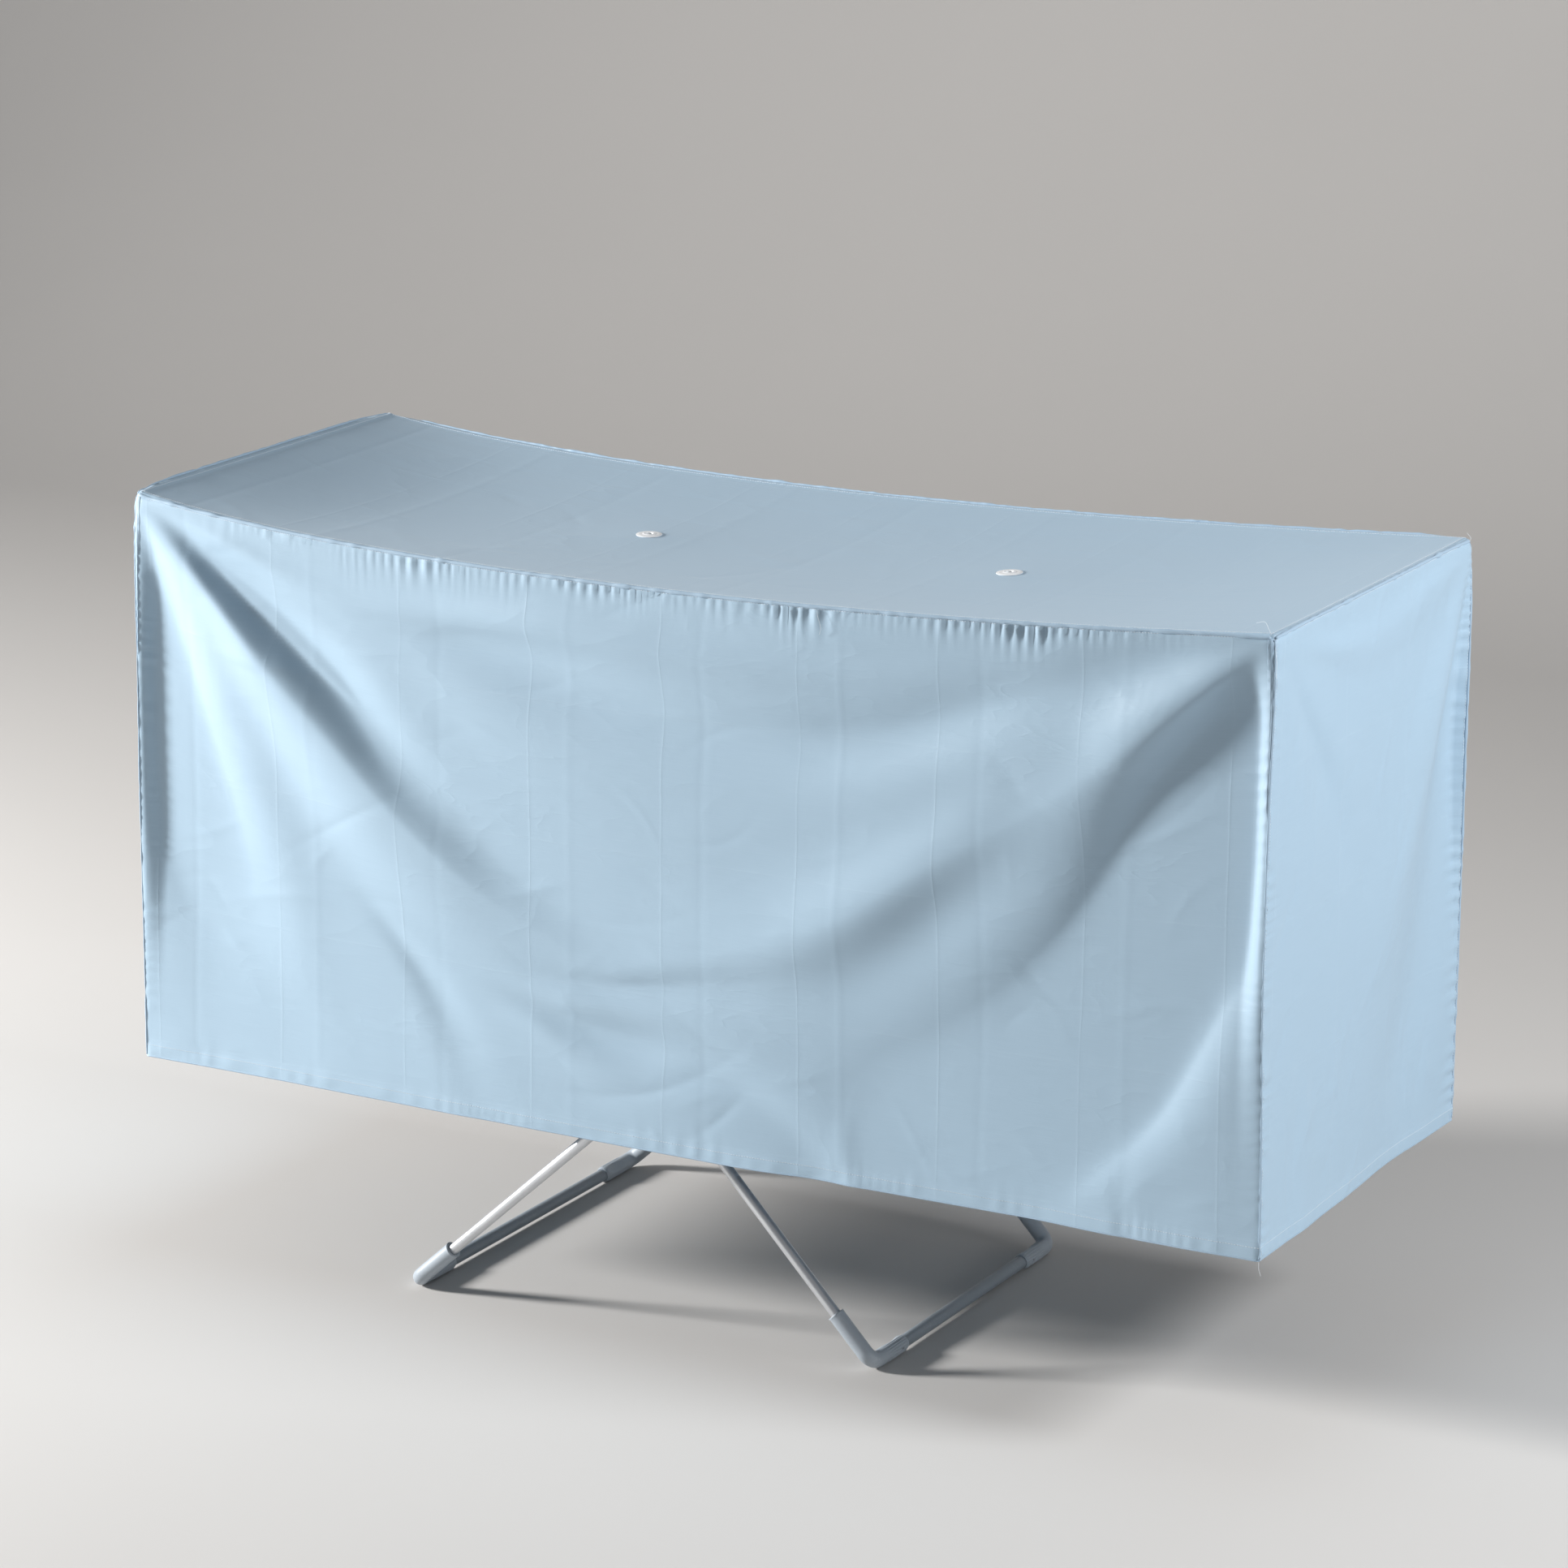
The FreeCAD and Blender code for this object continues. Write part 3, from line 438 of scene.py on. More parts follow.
# Each fold is a line of (along, up) shares of its panel, from -1 to 1 and from 0 at the hem to 1
# at the top, then how far it stands out, how wide it is on its left and right as the line runs,
# and how fast it dies at its far end: 4 into a corner, 2 on the open panel, 0 at the hem.
CORNER, OPEN, HEM = 4, 2, 0
LEAST_FOLD = 0.9 * CELL   # the narrowest that a fold may be
SIDE_TURN = 0.03      # how far a fold takes to change from one side's width to the other's
FOLD_LINES = {
    "front": [
        ([(1, 1), (0.80, 0.84), (0.62, 0.705), (0.42, 0.57), (0.30, 0.48), (0.16, 0.41), (0.0, 0.36),
          (-0.18, 0.345)], 0.034, 0.070, 0.115, OPEN),
        ([(1, 1), (0.96, 0.84), (0.89, 0.66), (0.81, 0.48), (0.72, 0.32), (0.63, 0.15), (0.57, 0)],
         -0.064, 0.14, 0.26, HEM),
        ([(-1, 1), (-0.74, 0.755), (-0.62, 0.645), (-0.50, 0.53), (-0.36, 0.42), (-0.20, 0.335), (0.0, 0.25)],
         0.028, 0.050, 0.15, OPEN),
        ([(-1, 1), (-0.80, 0.87), (-0.66, 0.765), (-0.58, 0.69), (-0.51, 0.61), (-0.40, 0.50)],
         -0.020, 0.055, 0.032, OPEN),
        ([(-1, 1), (-0.80, 0.93), (-0.28, 0.84), (0.08, 0.77), (0.32, 0.78), (0.71, 0.91), (1, 1)],
         -0.015, 0.045, 0.055, CORNER),
        ([(-1, 1), (-0.60, 0.90), (-0.20, 0.91), (0.25, 0.88), (0.60, 0.94)], 0.010, 0.030, 0.030, OPEN),
        ([(-1, 1), (-0.950, 0.78), (-0.915, 0.50), (-0.90, 0.25), (-0.92, 0.05)], -0.026, 0.130, 0.090, OPEN),
        ([(-1, 1), (-0.86, 0.74), (-0.74, 0.45), (-0.66, 0.15), (-0.62, 0)], 0.003, 0.05, 0.05, HEM),
        ([(-0.34, 0.30), (-0.10, 0.285), (0.14, 0.33), (0.30, 0.38)], -0.008, 0.03, 0.05, OPEN),
        ([(-0.36, 0.26), (-0.16, 0.20), (0.06, 0.15), (0.20, 0.06), (0.24, 0)], -0.019, 0.05, 0.07, HEM),
        ([(-0.62, 0.42), (-0.44, 0.22), (-0.34, 0)], -0.006, 0.05, 0.04, HEM),
        ([(0.34, 0.20), (0.30, 0.09), (0.31, 0)], 0.006, 0.03, 0.03, HEM),
        ([(0.80, 0.20), (0.77, 0.08), (0.78, 0)], -0.006, 0.03, 0.03, HEM),
    ],
    "back": [
        ([(-1, 1), (-0.72, 0.77), (-0.42, 0.55), (-0.16, 0.42), (0.10, 0.38)], 0.029, 0.10, 0.12, OPEN),
        ([(1, 1), (0.76, 0.80), (0.50, 0.60), (0.28, 0.46), (0.06, 0.39)], 0.028, 0.08, 0.13, OPEN),
        ([(-1, 1), (-0.95, 0.72), (-0.80, 0.42), (-0.66, 0.18), (-0.60, 0)], -0.036, 0.15, 0.08, HEM),
        ([(1, 1), (0.96, 0.70), (0.87, 0.40), (0.80, 0)], -0.028, 0.08, 0.12, HEM),
        ([(-1, 1), (-0.50, 0.87), (0.05, 0.80), (0.55, 0.88), (1, 1)], -0.013, 0.05, 0.05, CORNER),
        ([(0.20, 0.30), (0.02, 0.16), (-0.05, 0)], -0.010, 0.05, 0.05, HEM),
    ],
    "left": [
        ([(-1, 1), (-0.62, 0.62), (-0.40, 0.25), (-0.34, 0)], 0.016, 0.09, 0.07, HEM),
        ([(1, 1), (0.74, 0.66), (0.46, 0.34), (0.36, 0)], -0.020, 0.09, 0.09, HEM),
        ([(-1, 1), (-0.45, 0.90), (0.10, 0.88), (1, 1)], -0.007, 0.05, 0.06, CORNER),
    ],
    "right": [
        ([(1, 1), (0.62, 0.72), (0.30, 0.50), (0.02, 0.34), (-0.20, 0.22)], 0.012, 0.06, 0.09, OPEN),
        ([(1, 1), (0.86, 0.62), (0.62, 0.36), (0.42, 0.16), (0.36, 0)], -0.024, 0.09, 0.12, HEM),
        ([(-1, 1), (-0.66, 0.83), (-0.36, 0.66), (-0.12, 0.46)], -0.009, 0.04, 0.06, OPEN),
        ([(-0.62, 0.34), (-0.56, 0.15), (-0.58, 0)], 0.008, 0.07, 0.07, HEM),
        ([(-1, 1), (-0.40, 0.93), (0.20, 0.92), (1, 1)], 0.007, 0.03, 0.04, CORNER),
    ],
}


def stand_out(lines, along, up, half):
    """How far a panel's points stand out of its plane for its folds."""
    places = np.stack([along * half, up * DROP], -1)
    total = np.zeros(len(places))
    for line, height, left, right, dying in lines:
        spots = smooth_line(line) * (half, DROP)
        steps = np.linalg.norm(np.diff(spots, axis=0), axis=1)
        nearest = np.full(len(places), 9.0)
        gone_at, side = np.zeros(len(places)), np.zeros(len(places))
        gone = 0.0
        for start, end, step in zip(spots, spots[1:], steps):
            way = (end - start) / step
            reach = np.clip((places - start) @ way, 0, step)
            off = places - start - reach[:, None] * way
            away = np.linalg.norm(off, axis=1)
            closer = away < nearest
            nearest[closer] = away[closer]
            gone_at[closer] = gone + reach[closer]
            side[closer] = way[0] * off[closer, 1] - way[1] * off[closer, 0]
            gone += step
        swell = ease(gone_at / FOLD_GROWTH)
        if dying:
            swell = swell * ease(dying * (gone - gone_at) / gone)
        turn = ease(0.5 + side / SIDE_TURN)
        width = (right + (left - right) * turn) * (0.12 + 0.88 * ease(gone_at / (1.4 * FOLD_GROWTH)))
        total += height * swell * np.exp(-((nearest / np.maximum(width, LEAST_FOLD)) ** 2))
    at_hem = 0.45 + 0.55 * ease(4 * up)
    return total * at_hem * ease(24 * (1 - np.abs(along))) * ease(22 * (1 - up))


def shares(flat):
    """Each point's place on the flat cover: along from -1 to 1, across from 0 to 1, up from 0 to 1."""
    return flat[:, 0] / END_X, (flat[:, 1] + SIDE_Y) / WIDTH, (flat[:, 2] - HEM_Z) / DROP


def sagged(flat, part=1.0):
    """The flat cover with its top edge hanging between the corners, by all or part of the sag."""
    along, across, up = shares(flat)
    points = flat.copy()
    # The lowest place is a little to the left, so the left end is the steeper one.
    gone = ((1 + np.clip(along, -1, 1)) / 2) ** 0.8
    drop = (SAG["front"] * (1 - across) + SAG["back"] * across) * 4 * gone * (1 - gone)
    points[:, 2] -= part * drop * up
    return points


def start_shape(flat, panels):
    """The cover roughly as it hangs: its top sags between the wings and its sides fold."""
    along, across, up = shares(flat)
    points = sagged(flat)
    dip = VALLEY * np.sin(math.pi * across) * ease(3 * (1 - np.abs(along)))
    points[:, 2] -= np.where(up > 1 - 1e-6, dip, 0)
    folded = points.copy()
    for name in FOLD_LINES:
        numbers = panels[name][1:].ravel()
        folded[numbers] += folds_on(name, flat[numbers])
    return points, folded


def folds_on(name, flat):
    """How far the folds move a panel's points, given their places on the flat cover."""
    along, across, up = shares(flat)
    is_long = name in ("front", "back")
    out = stand_out(FOLD_LINES[name], along if is_long else 2 * across - 1, up, END_X if is_long else SIDE_Y)
    return out[:, None] * np.array(OUTWARD[name])


# ---------------------------------------------------------------- hanging the cover

HANG_FRAMES = 30
SHAKEN = 0.0002       # how unevenly the cloth starts
CUT_SAG = 0.97        # the share of its sag that the worn cloth keeps for good
SET_FOLDS = 1.0       # the share of its folds that it keeps
EVEN_ROUNDS = 9


def hold(flat, panels):
    """How firmly each point is held: the top's edge fully, the corners and the hem a little."""
    firm = np.zeros(len(flat))
    sides = [panels[name] for name in ("front", "back", "left", "right")]
    for rows in sides:
        firm[rows[:, 0]] = 0.3
        firm[rows[-1]] = 0.15
    for rows in sides:
        firm[rows[0]] = 1
        firm[rows[-1, [0, -1]]] = 0.35
    for word in ("left", "right"):
        low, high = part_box(f"eyelet_{word}")
        middle = (low + high) / 2
        near = np.hypot(flat[:, 0] - middle.x, flat[:, 1] - middle.y) < 1.5 * CELL
        firm[near & (flat[:, 2] > TOP_Z - CELL / 2)] = 1
    return firm


def let_hang(flat, start, panels, firm):
    """How far each point moves as the folded start shape settles under its own weight."""
    faces = np.concatenate([net_faces(rows, name in FLIPPED) for name, rows in panels.items()])
    shaken = start + chance.normal(0, SHAKEN, start.shape) * (firm < 1)[:, None]
    cloth = make_piece("hanging_cloth", shaken, faces, CLOTH)
    cloth.shape_key_add(name="hung", from_mix=False)
    cut = cloth.shape_key_add(name="cut", from_mix=False)
    worn = sagged(flat, CUT_SAG) + SET_FOLDS * (start - sagged(flat))
    cut.data.foreach_set("co", worn.astype(np.float32).ravel())
    cut.value = 0
    held = cloth.vertex_groups.new(name="held")
    for weight in np.unique(firm[firm > 0]):
        held.add([int(number) for number in np.flatnonzero(firm == weight)], float(weight), "REPLACE")
    modifier = cloth.modifiers.new("hang", "CLOTH")
    settings = modifier.settings
    settings.quality = 6
    settings.mass = 0.03
    settings.air_damping = 1.5
    settings.tension_stiffness = settings.compression_stiffness = 60
    settings.shear_stiffness = 6
    settings.bending_stiffness = 0.15
    settings.tension_damping = settings.compression_damping = 8
    settings.shear_damping = 6
    settings.bending_damping = 0.6
    settings.vertex_group_mass = "held"
    settings.rest_shape_key = cut
    modifier.collision_settings.use_collision = False
    modifier.point_cache.frame_end = HANG_FRAMES
    scene = bpy.context.scene
    scene.frame_start, scene.frame_end = 1, HANG_FRAMES
    for step in range(1, HANG_FRAMES + 1):
        scene.frame_set(step)
    seen = cloth.evaluated_get(bpy.context.evaluated_depsgraph_get()).data
    points = np.empty(len(flat) * 3, np.float32)
    seen.vertices.foreach_get("co", points)
    scene.frame_set(1)
    bpy.data.objects.remove(cloth)
    return evened(points.reshape(-1, 3).astype(float) - start, faces, EVEN_ROUNDS)


def evened(values, faces, rounds):
    """Values at the net's points with the small lumps taken out, by averaging with neighbours."""
    starts = np.concatenate([faces[:, side] for side in range(4)])
    ends = np.concatenate([faces[:, (side + 1) % 4] for side in range(4)])
    ways = np.concatenate([np.stack([starts, ends], 1), np.stack([ends, starts], 1)])
    count = np.bincount(ways[:, 0], minlength=len(values))[:, None]
    for _ in range(rounds):
        total = np.zeros_like(values)
        np.add.at(total, ways[:, 0], values[ways[:, 1]])
        values = (values + total / count) / 2
    return values


LEG_CLEAR = 0.004     # the room that the long sides leave for the legs as they fold
BAR_CLEAR = 0.0025    # the room between a long side and a tube behind it


def bars_behind():
    """The tubes that the long sides can touch, each as its two ends in X and Z and its outer face."""
    rack_low, rack_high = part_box("rack_side_tube_front")
    radius = (rack_high.z - rack_low.z) / 2
    bars = [((rack_low.x, rack_high.z - radius), (rack_high.x, rack_high.z - radius), -rack_low.y)]
    for sign, word in ((-1, "left"), (1, "right")):
        low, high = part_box(f"{word}_wing_tube")
        inner = low.x if sign > 0 else high.x
        outer = (high.x if sign > 0 else low.x) - sign * radius
        bars.append(((inner, low.z + radius), (outer, high.z - radius), -low.y))
    low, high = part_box("outer_leg_tube")
    bars.append(((low.x, low.z), (high.x - radius, high.z - radius), -low.y))
    return bars


def kept_off_bars(points, sign):
    """A long side's points, lifted clear of the tubes behind it. Its outer way is sign times Y."""
    place = points[..., [0, 2]]
    out = points[..., 1] * sign
    for start, end, face in bars_behind():
        start, end = np.array(start), np.array(end)
        way = unit(end - start)
        reach = np.clip((place - start) @ way, 0, np.linalg.norm(end - start))
        away = np.linalg.norm(place - start - reach[..., None] * way, axis=-1)
        out = np.maximum(out, face + BAR_CLEAR - 0.10 * away - 2.0 * away**2)
    # The legs sweep past inside the cover as they fold, so no fold goes in further than that.
    sweep_face = -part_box("outer_foot_front")[0].y + LEG_CLEAR
    least = sweep_face + LEG_CLEAR
    near = sweep_face + LEG_CLEAR * np.exp(np.minimum(out - least, 0) / LEG_CLEAR)
    points[..., 1] = np.where(out < least, near, out) * sign
    return points


# ---------------------------------------------------------------- the finished panels


def wander(places, step, size=1.0):
    """A smooth random curve read at places, with a new value about every step."""
    low, high = places.min(), places.max()
    count = max(4, int((high - low) / step) + 3)
    values = chance.normal(0, size, count)
    line = finer(count, 8) @ values
    return np.interp(places, np.linspace(low, high, len(line)), line)


def gathers(along, away, pitch, height, reach):
    """Small pleats that start at a seam and die away from it, no two alike."""
    turns = along / pitch + wander(along[0], 4 * pitch, 0.9)[None, :]
    wave = (0.5 + 0.5 * np.sin(2 * math.pi * turns)) ** 1.5
    length = reach * (0.75 + 0.5 * np.clip(wander(along[0], 2 * pitch, 0.5)[None, :], -0.8, 1.2))
    strength = np.clip(0.8 + wander(along[0], 5 * pitch, 0.4)[None, :], 0.35, 1.4)
    fade = np.exp(-((away / length) ** 1.6)) * (1 - np.exp(-away / 0.004))
    return height * strength * (wave - 0.4) * fade


def creases(along, up, count, size, lean, length=0.05, width=0.007):
    """Short crisp creases scattered over a panel, mostly near one direction."""
    total = np.zeros(along.shape)
    across = chance.uniform(along.min(), along.max(), count)
    places = np.stack([across, chance.uniform(0, up.max(), count)], 1)
    for place in places:
        turn = lean + chance.normal(0, 0.5)
        long_, wide = length * chance.uniform(0.5, 1.8), width * chance.uniform(0.6, 1.6)
        height = size * chance.choice((-1, 1)) * chance.uniform(0.3, 1)
        x, y = along - place[0], up - place[1]
        down_line = x * math.cos(turn) + y * math.sin(turn)
        bow = chance.normal(0, 2.5)
        off = -x * math.sin(turn) + y * math.cos(turn) + bow * down_line**2
        total += height * np.exp(-np.sqrt(off**2 + 4e-6) / wide - (down_line / long_) ** 2)
    return total


def packing_lines(along, up, spacing, height=0.0003, width=0.004):
    """The folds of the packet as shallow ridges and furrows in turn."""
    total = np.zeros(along.shape)
    for places, first in ((along, 0.09), (up, 0.12)):
        for order, line in enumerate(np.arange(places.min() + first, places.max(), spacing)):
            sign = 1 if order % 2 else -1
            total += sign * height * np.exp(-np.abs(places - line) / width)
    return total


def band(away, deep, height):
    """A stretch along an edge that stands higher, because the cloth is doubled under it."""
    return height * (1 - ease((away - deep + 0.002) / 0.004))


def normals_of(points):
    """Unit normals of points laid out in rows, towards the rows' left-hand side."""
    down, across = np.gradient(points, axis=0), np.gradient(points, axis=1)
    return unit(np.cross(across, down))


def outward_normals(name, points):
    found = normals_of(points)
    return found if (found * np.array(OUTWARD[name])).sum() > 0 else -found


EDGE_ROUND, CORNER_ROUND, CORNER_REACH = 0.0022, 0.0140, 0.055


def softened(flat):
    """How far points of the flat cover move in, to round its edges and, more so, its top corners."""
    aside = np.abs(flat[..., :2]) - (END_X, SIDE_Y)
    away = np.sqrt((aside**2).sum(-1) + (TOP_Z - flat[..., 2]) ** 2)
    radius = (EDGE_ROUND + CORNER_ROUND * np.exp(-((away / CORNER_REACH) ** 2)))[..., None]
    low = np.array((-END_X, -SIDE_Y, HEM_Z - 1)) + radius
    high = np.array((END_X, SIDE_Y, TOP_Z)) - radius
    core = np.clip(flat, low, high)
    return core + radius * unit(flat - core) - flat


class Panel:
    """One cut panel of the cover: its fine points in rows, its normals and its flat places."""

    def __init__(self, name, coarse, flat):
        self.name = name
        rows, columns = (finer(count, FINE) for count in coarse.shape[:2])
        self.points = np.einsum("ra,abx,cb->rcx", rows, coarse, columns)
        fine_flat = np.einsum("ra,abx,cb->rcx", rows, flat, columns)
        if name in FOLD_LINES:
            self.points += folds_on(name, fine_flat.reshape(-1, 3)).reshape(fine_flat.shape)
        if name in ("front", "back"):
            self.points = kept_off_bars(self.points, OUTWARD[name][1])
        self.points += softened(fine_flat)
        count_down, count_across = self.points.shape[:2]
        size_down, size_across = (
            (WIDTH, LENGTH) if name == "top" else (DROP, LENGTH if name in ("front", "back") else WIDTH)
        )
        self.along, self.down = np.meshgrid(
            np.linspace(0, size_across, count_across), np.linspace(0, size_down, count_down)
        )
        self.up = size_down - self.down
        self.beyond = size_across - self.along
        self.normals = outward_normals(name, self.points)
        self.holes = []

    def raise_by(self, height):
        """Moves the points along their normals, but not the seams that join the next panel."""
        edge = np.minimum(self.along, self.beyond)
        edge = np.minimum(edge, self.down)
        if self.name == "top":
            edge = np.minimum(edge, self.up)
        held = height * ease(edge / 0.004)
        self.points = self.points + held[..., None] * self.normals
        self.normals = outward_normals(self.name, self.points)

    def make(self):
        kept = np.ones(self.along.shape, bool)
        for seat in self.holes:
            kept[seat] = False
        numbers = np.where(kept, np.cumsum(kept).reshape(kept.shape) - 1, -1)
        faces = net_faces(numbers, self.name in FLIPPED)
        uv = np.stack([self.along[kept], self.up[kept]], 1)
        faces = faces[faces.min(1) >= 0]
        return make_piece(f"cover_{self.name}_panel", self.points[kept], faces, CLOTH, uv)

    def line_at(self, edge, away):
        """The surface's points and normals on a line that runs at a distance from an edge."""
        places, across_rows = {
            "high": (self.down[:, 0], True), "low": (self.up[:, 0], True),
            "start": (self.along[0], False), "end": (self.beyond[0], False),
        }[edge]
        grid, normals = self.points, self.normals
        if not across_rows:
            grid, normals = grid.transpose(1, 0, 2), normals.transpose(1, 0, 2)
        order = np.argsort(places)
        place = np.interp(away, places[order], np.arange(len(places))[order])
        low = int(min(place, len(places) - 2))
        share = place - low
        points = grid[low] * (1 - share) + grid[low + 1] * share
        return points, unit(normals[low] * (1 - share) + normals[low + 1] * share)


def detail(panel):
    """The small shapes of each panel: gathers at its seams, doubled edges, creases and folds."""
    along, beyond, down, up = panel.along, panel.beyond, panel.down, panel.up
    if panel.name == "top":
        height = creases(along, up, 40, 0.0006, 0.2, 0.07, 0.010) + packing_lines(along, up, 0.214)
        for away, other in ((up, along), (down, along)):
            height += band(away, ALLOWANCE, 0.0010) + gathers(other, away, 0.016, 0.0016, 0.014)
        for away, other in ((along, down), (beyond, down)):
            height += band(away, ALLOWANCE, 0.0010) + gathers(other.T, away.T, 0.02, 0.0008, 0.014).T
        panel.raise_by(height)
        return
    height = packing_lines(along, up, 0.214)
    if panel.name in ("front", "back"):
        height += creases(along, up * 1.6, 70, 0.0011, 0.15)
        height += creases(along, up, 60, 0.0007, -0.5, 0.04, 0.005)
        height += creases(along, up * 1.3, 18, 0.0026, 0.1, 0.09, 0.012)
        middle = ease(3.2 * (0.92 - np.abs(along / LENGTH * 2 - 1)))
        height += middle * gathers(along, down, 0.0155, 0.0062, 0.025)
        height += middle * gathers(along, down, 0.0098, 0.0034, 0.013)
        side_gather = 0.0022
    else:
        height += creases(along, up, 80, 0.0014, 1.2)
        height += gathers(along, down, 0.025, 0.0010, 0.02)
        side_gather = 0.0040
    for away in (along, beyond):
        height += gathers(down.T, away.T, 0.022, side_gather, 0.026).T
    height += band(up, HEM_DEEP, 0.0009) + gathers(along, up, 0.03, 0.0012, 0.03)
    panel.raise_by(height)


# ---------------------------------------------------------------- sewing

STITCH = 0.0042       # from one stitch to the next
STITCH_BODY = 0.0031  # the thread that shows of each
STITCH_WIDE = 0.0007


def even_steps(points, normals, step):
    """Points and normals at even steps along a line."""
    gone = np.concatenate([[0], np.cumsum(np.linalg.norm(np.diff(points, axis=0), axis=1))])
    places = np.arange(step / 2, gone[-1], step)
    spots = np.stack([np.interp(places, gone, points[:, axis]) for axis in range(3)], 1)
    faced = np.stack([np.interp(places, gone, normals[:, axis]) for axis in range(3)], 1)
    return spots, unit(faced), unit(np.gradient(spots, axis=0))


def stitches(points, normals):
    """A row of thread loops, each fat in the middle and sinking into the cloth at its ends."""
    spots, faced, ways = even_steps(points, normals, STITCH)
    sides = np.cross(ways, faced)
    stations = [(-0.5, 0.35, -0.25), (-0.28, 0.9, 0.35), (0.28, 0.9, 0.35), (0.5, 0.35, -0.25)]
    ring = [(math.cos(turn), math.sin(turn)) for turn in np.arange(6) * math.pi / 3]
    wide = STITCH_WIDE / 2
    layers = []
    for place, fat, lift in stations:
        centre = spots + ways * (place * STITCH_BODY) + faced * (lift * STITCH_WIDE)
        layers.append(np.stack(
            [centre + sides * (x * fat * wide) + faced * (y * fat * wide) for x, y in ring], 1
        ))
    block = np.stack(layers, 1)
    count, rings, around = block.shape[:3]
    base = np.arange(rings * around).reshape(rings, around)
    one = [tuple(face) for face in net_faces(np.concatenate([base, base[:, :1]], 1))]
    one += [tuple(base[0][::-1]), tuple(base[-1])]
    each = rings * around
    starts = range(0, count * each, each)
    faces = [tuple(number + start for number in face) for start in starts for face in one]
    return block.reshape(-1, 3), faces


def welt(points, normals, wide, high, sink=0.3):
    """A soft rounded ridge of seamed cloth along a line, a little uneven."""
    spots, faced, ways = even_steps(points, normals, 0.004)
    sides = np.cross(ways, faced)
    turns = np.arange(10) * math.pi / 5
    count = len(spots)
    known = np.linspace(0, count - 1, count // 3)
    swell = 1 + 0.22 * np.interp(np.arange(count), known, chance.normal(0, 1, count // 3))
    centres = spots + faced * (high * (1 - 2 * sink) / 2)
    ring = [(math.cos(turn) * wide / 2, math.sin(turn) * high / 2) for turn in turns]
    return sweep(centres, sides * swell[:, None], faced * swell[:, None], ring)


def add_sewing(panels):
    """Every row of stitches as one piece, and every seam's ridge as another."""
    rows, ridges = [], []
    for name in ("front", "back", "left", "right"):
        panel = panels[name]
        rows.append(stitches(*panel.line_at("low", HEM_DEEP - 0.002)))
        rows.append(stitches(*panel.line_at("high", 0.0035)))
        ridges.append(welt(*panel.line_at("high", 0.0), 0.0052, 0.0034, 0.35))
    for name in ("left", "right"):
        for edge in ("start", "end"):
            rows.append(stitches(*panels[name].line_at(edge, 0.0040)))
            ridges.append(welt(*panels[name].line_at(edge, 0.0012), 0.0040, 0.0026, 0.4))
    for edge in ("high", "low", "start", "end"):
        rows.append(stitches(*panels["top"].line_at(edge, ALLOWANCE - 0.002)))
    stitching = make_piece("cover_stitching", *joined(rows), THREAD)
    # The seam ridges use the darker cloth: painted shade along the seams.
    seams = make_piece("cover_seams", *joined(ridges), TAPE_PAINTED_SHADE)
    return stitching, seams


def add_hem(panels):
    """The folded edge all round: it rolls under and goes up inside by the hem's depth."""
    parts = []
    outline = [
        (0.0004, 0.0015), (0.0006, 0.0002), (0.0002, -0.0010), (-0.0008, -0.0012), (-0.0016, -0.0003),
        (-0.0016, HEM_DEEP), (-0.0008, HEM_DEEP), (-0.0006, 0.0015),
    ]
    for name in ("front", "back", "left", "right"):
        points, normals = panels[name].line_at("low", 0.0)
        above, _ = panels[name].line_at("low", HEM_DEEP)
        ups = unit(above - points)
        outs = unit(normals - (normals * ups).sum(1, keepdims=True) * ups)
        parts.append(sweep(points, outs, ups, outline[:: 1 if name in ("front", "right") else -1]))
    # The hem uses the darker cloth: painted shade along the folded edge.
    return make_piece("cover_hem", *joined(parts), TAPE_PAINTED_SHADE)


TAB_LONG, TAB_WIDE = 0.26, 0.0135


def add_corner_tabs(panels):
    """The strips at the top of the long sides' ends, where the seam allowance is stitched flat, made in the
    darker cloth that paints shade on them.
    """
    parts = []
    for name, edge in (("front", "start"), ("front", "end"), ("back", "start"), ("back", "end")):
        strips = []
        for share in np.linspace(0, 1, 7):
            points, normals = panels[name].line_at(edge, 0.0015)
            inner, _ = panels[name].line_at(edge, TAB_WIDE)
            count = int(len(points) * TAB_LONG / DROP)
            narrow = np.linspace(1, 0.15, count)[:, None]
            place = points[:count] + (inner - points)[:count] * narrow * share
            ridge = math.exp(-(((share - 0.5) / 0.13) ** 2))
            rise = (0.0007 + 0.0012 * ridge) * ease(9 * (1 - np.linspace(0, 1, count)))
            strips.append(place + normals[:count] * rise[:, None])
        outer = np.stack(strips, 1)
        under = outer - panels[name].line_at(edge, TAB_WIDE / 2)[1][: outer.shape[0], None] * 0.0014
        ring = np.concatenate([outer, under[:, ::-1]], 1)
        numbers = np.arange(ring.shape[0] * ring.shape[1]).reshape(ring.shape[:2])
        looped = np.concatenate([numbers, numbers[:, :1]], 1)
        is_flipped = (name == "back") != (edge == "end")
        faces = [tuple(face) for face in net_faces(looped, is_flipped)]
        ends = [tuple(numbers[0]), tuple(numbers[-1][::-1])]
        faces += [end[::-1] if not is_flipped else end for end in ends]
        parts.append((ring.reshape(-1, 3), faces))
    return make_piece("cover_corner_tabs", *joined(parts), TAPE_PAINTED_SHADE)


def thread_end(start, steps, radius=0.00022):
    """A loose end of thread through a few offsets from where it leaves the seam."""
    spots = smooth_line(np.array(start) + np.array([(0, 0, 0), *steps]), 8)
    ways = unit(np.gradient(spots, axis=0))
    sides = unit(np.cross(ways, (0.3, 0.2, 1)))
    ups = np.cross(sides, ways)
    turns = np.arange(5) * 2 * math.pi / 5
    ring = [(radius * math.cos(turn), radius * math.sin(turn)) for turn in turns]
    return sweep(spots, sides, ups, ring)


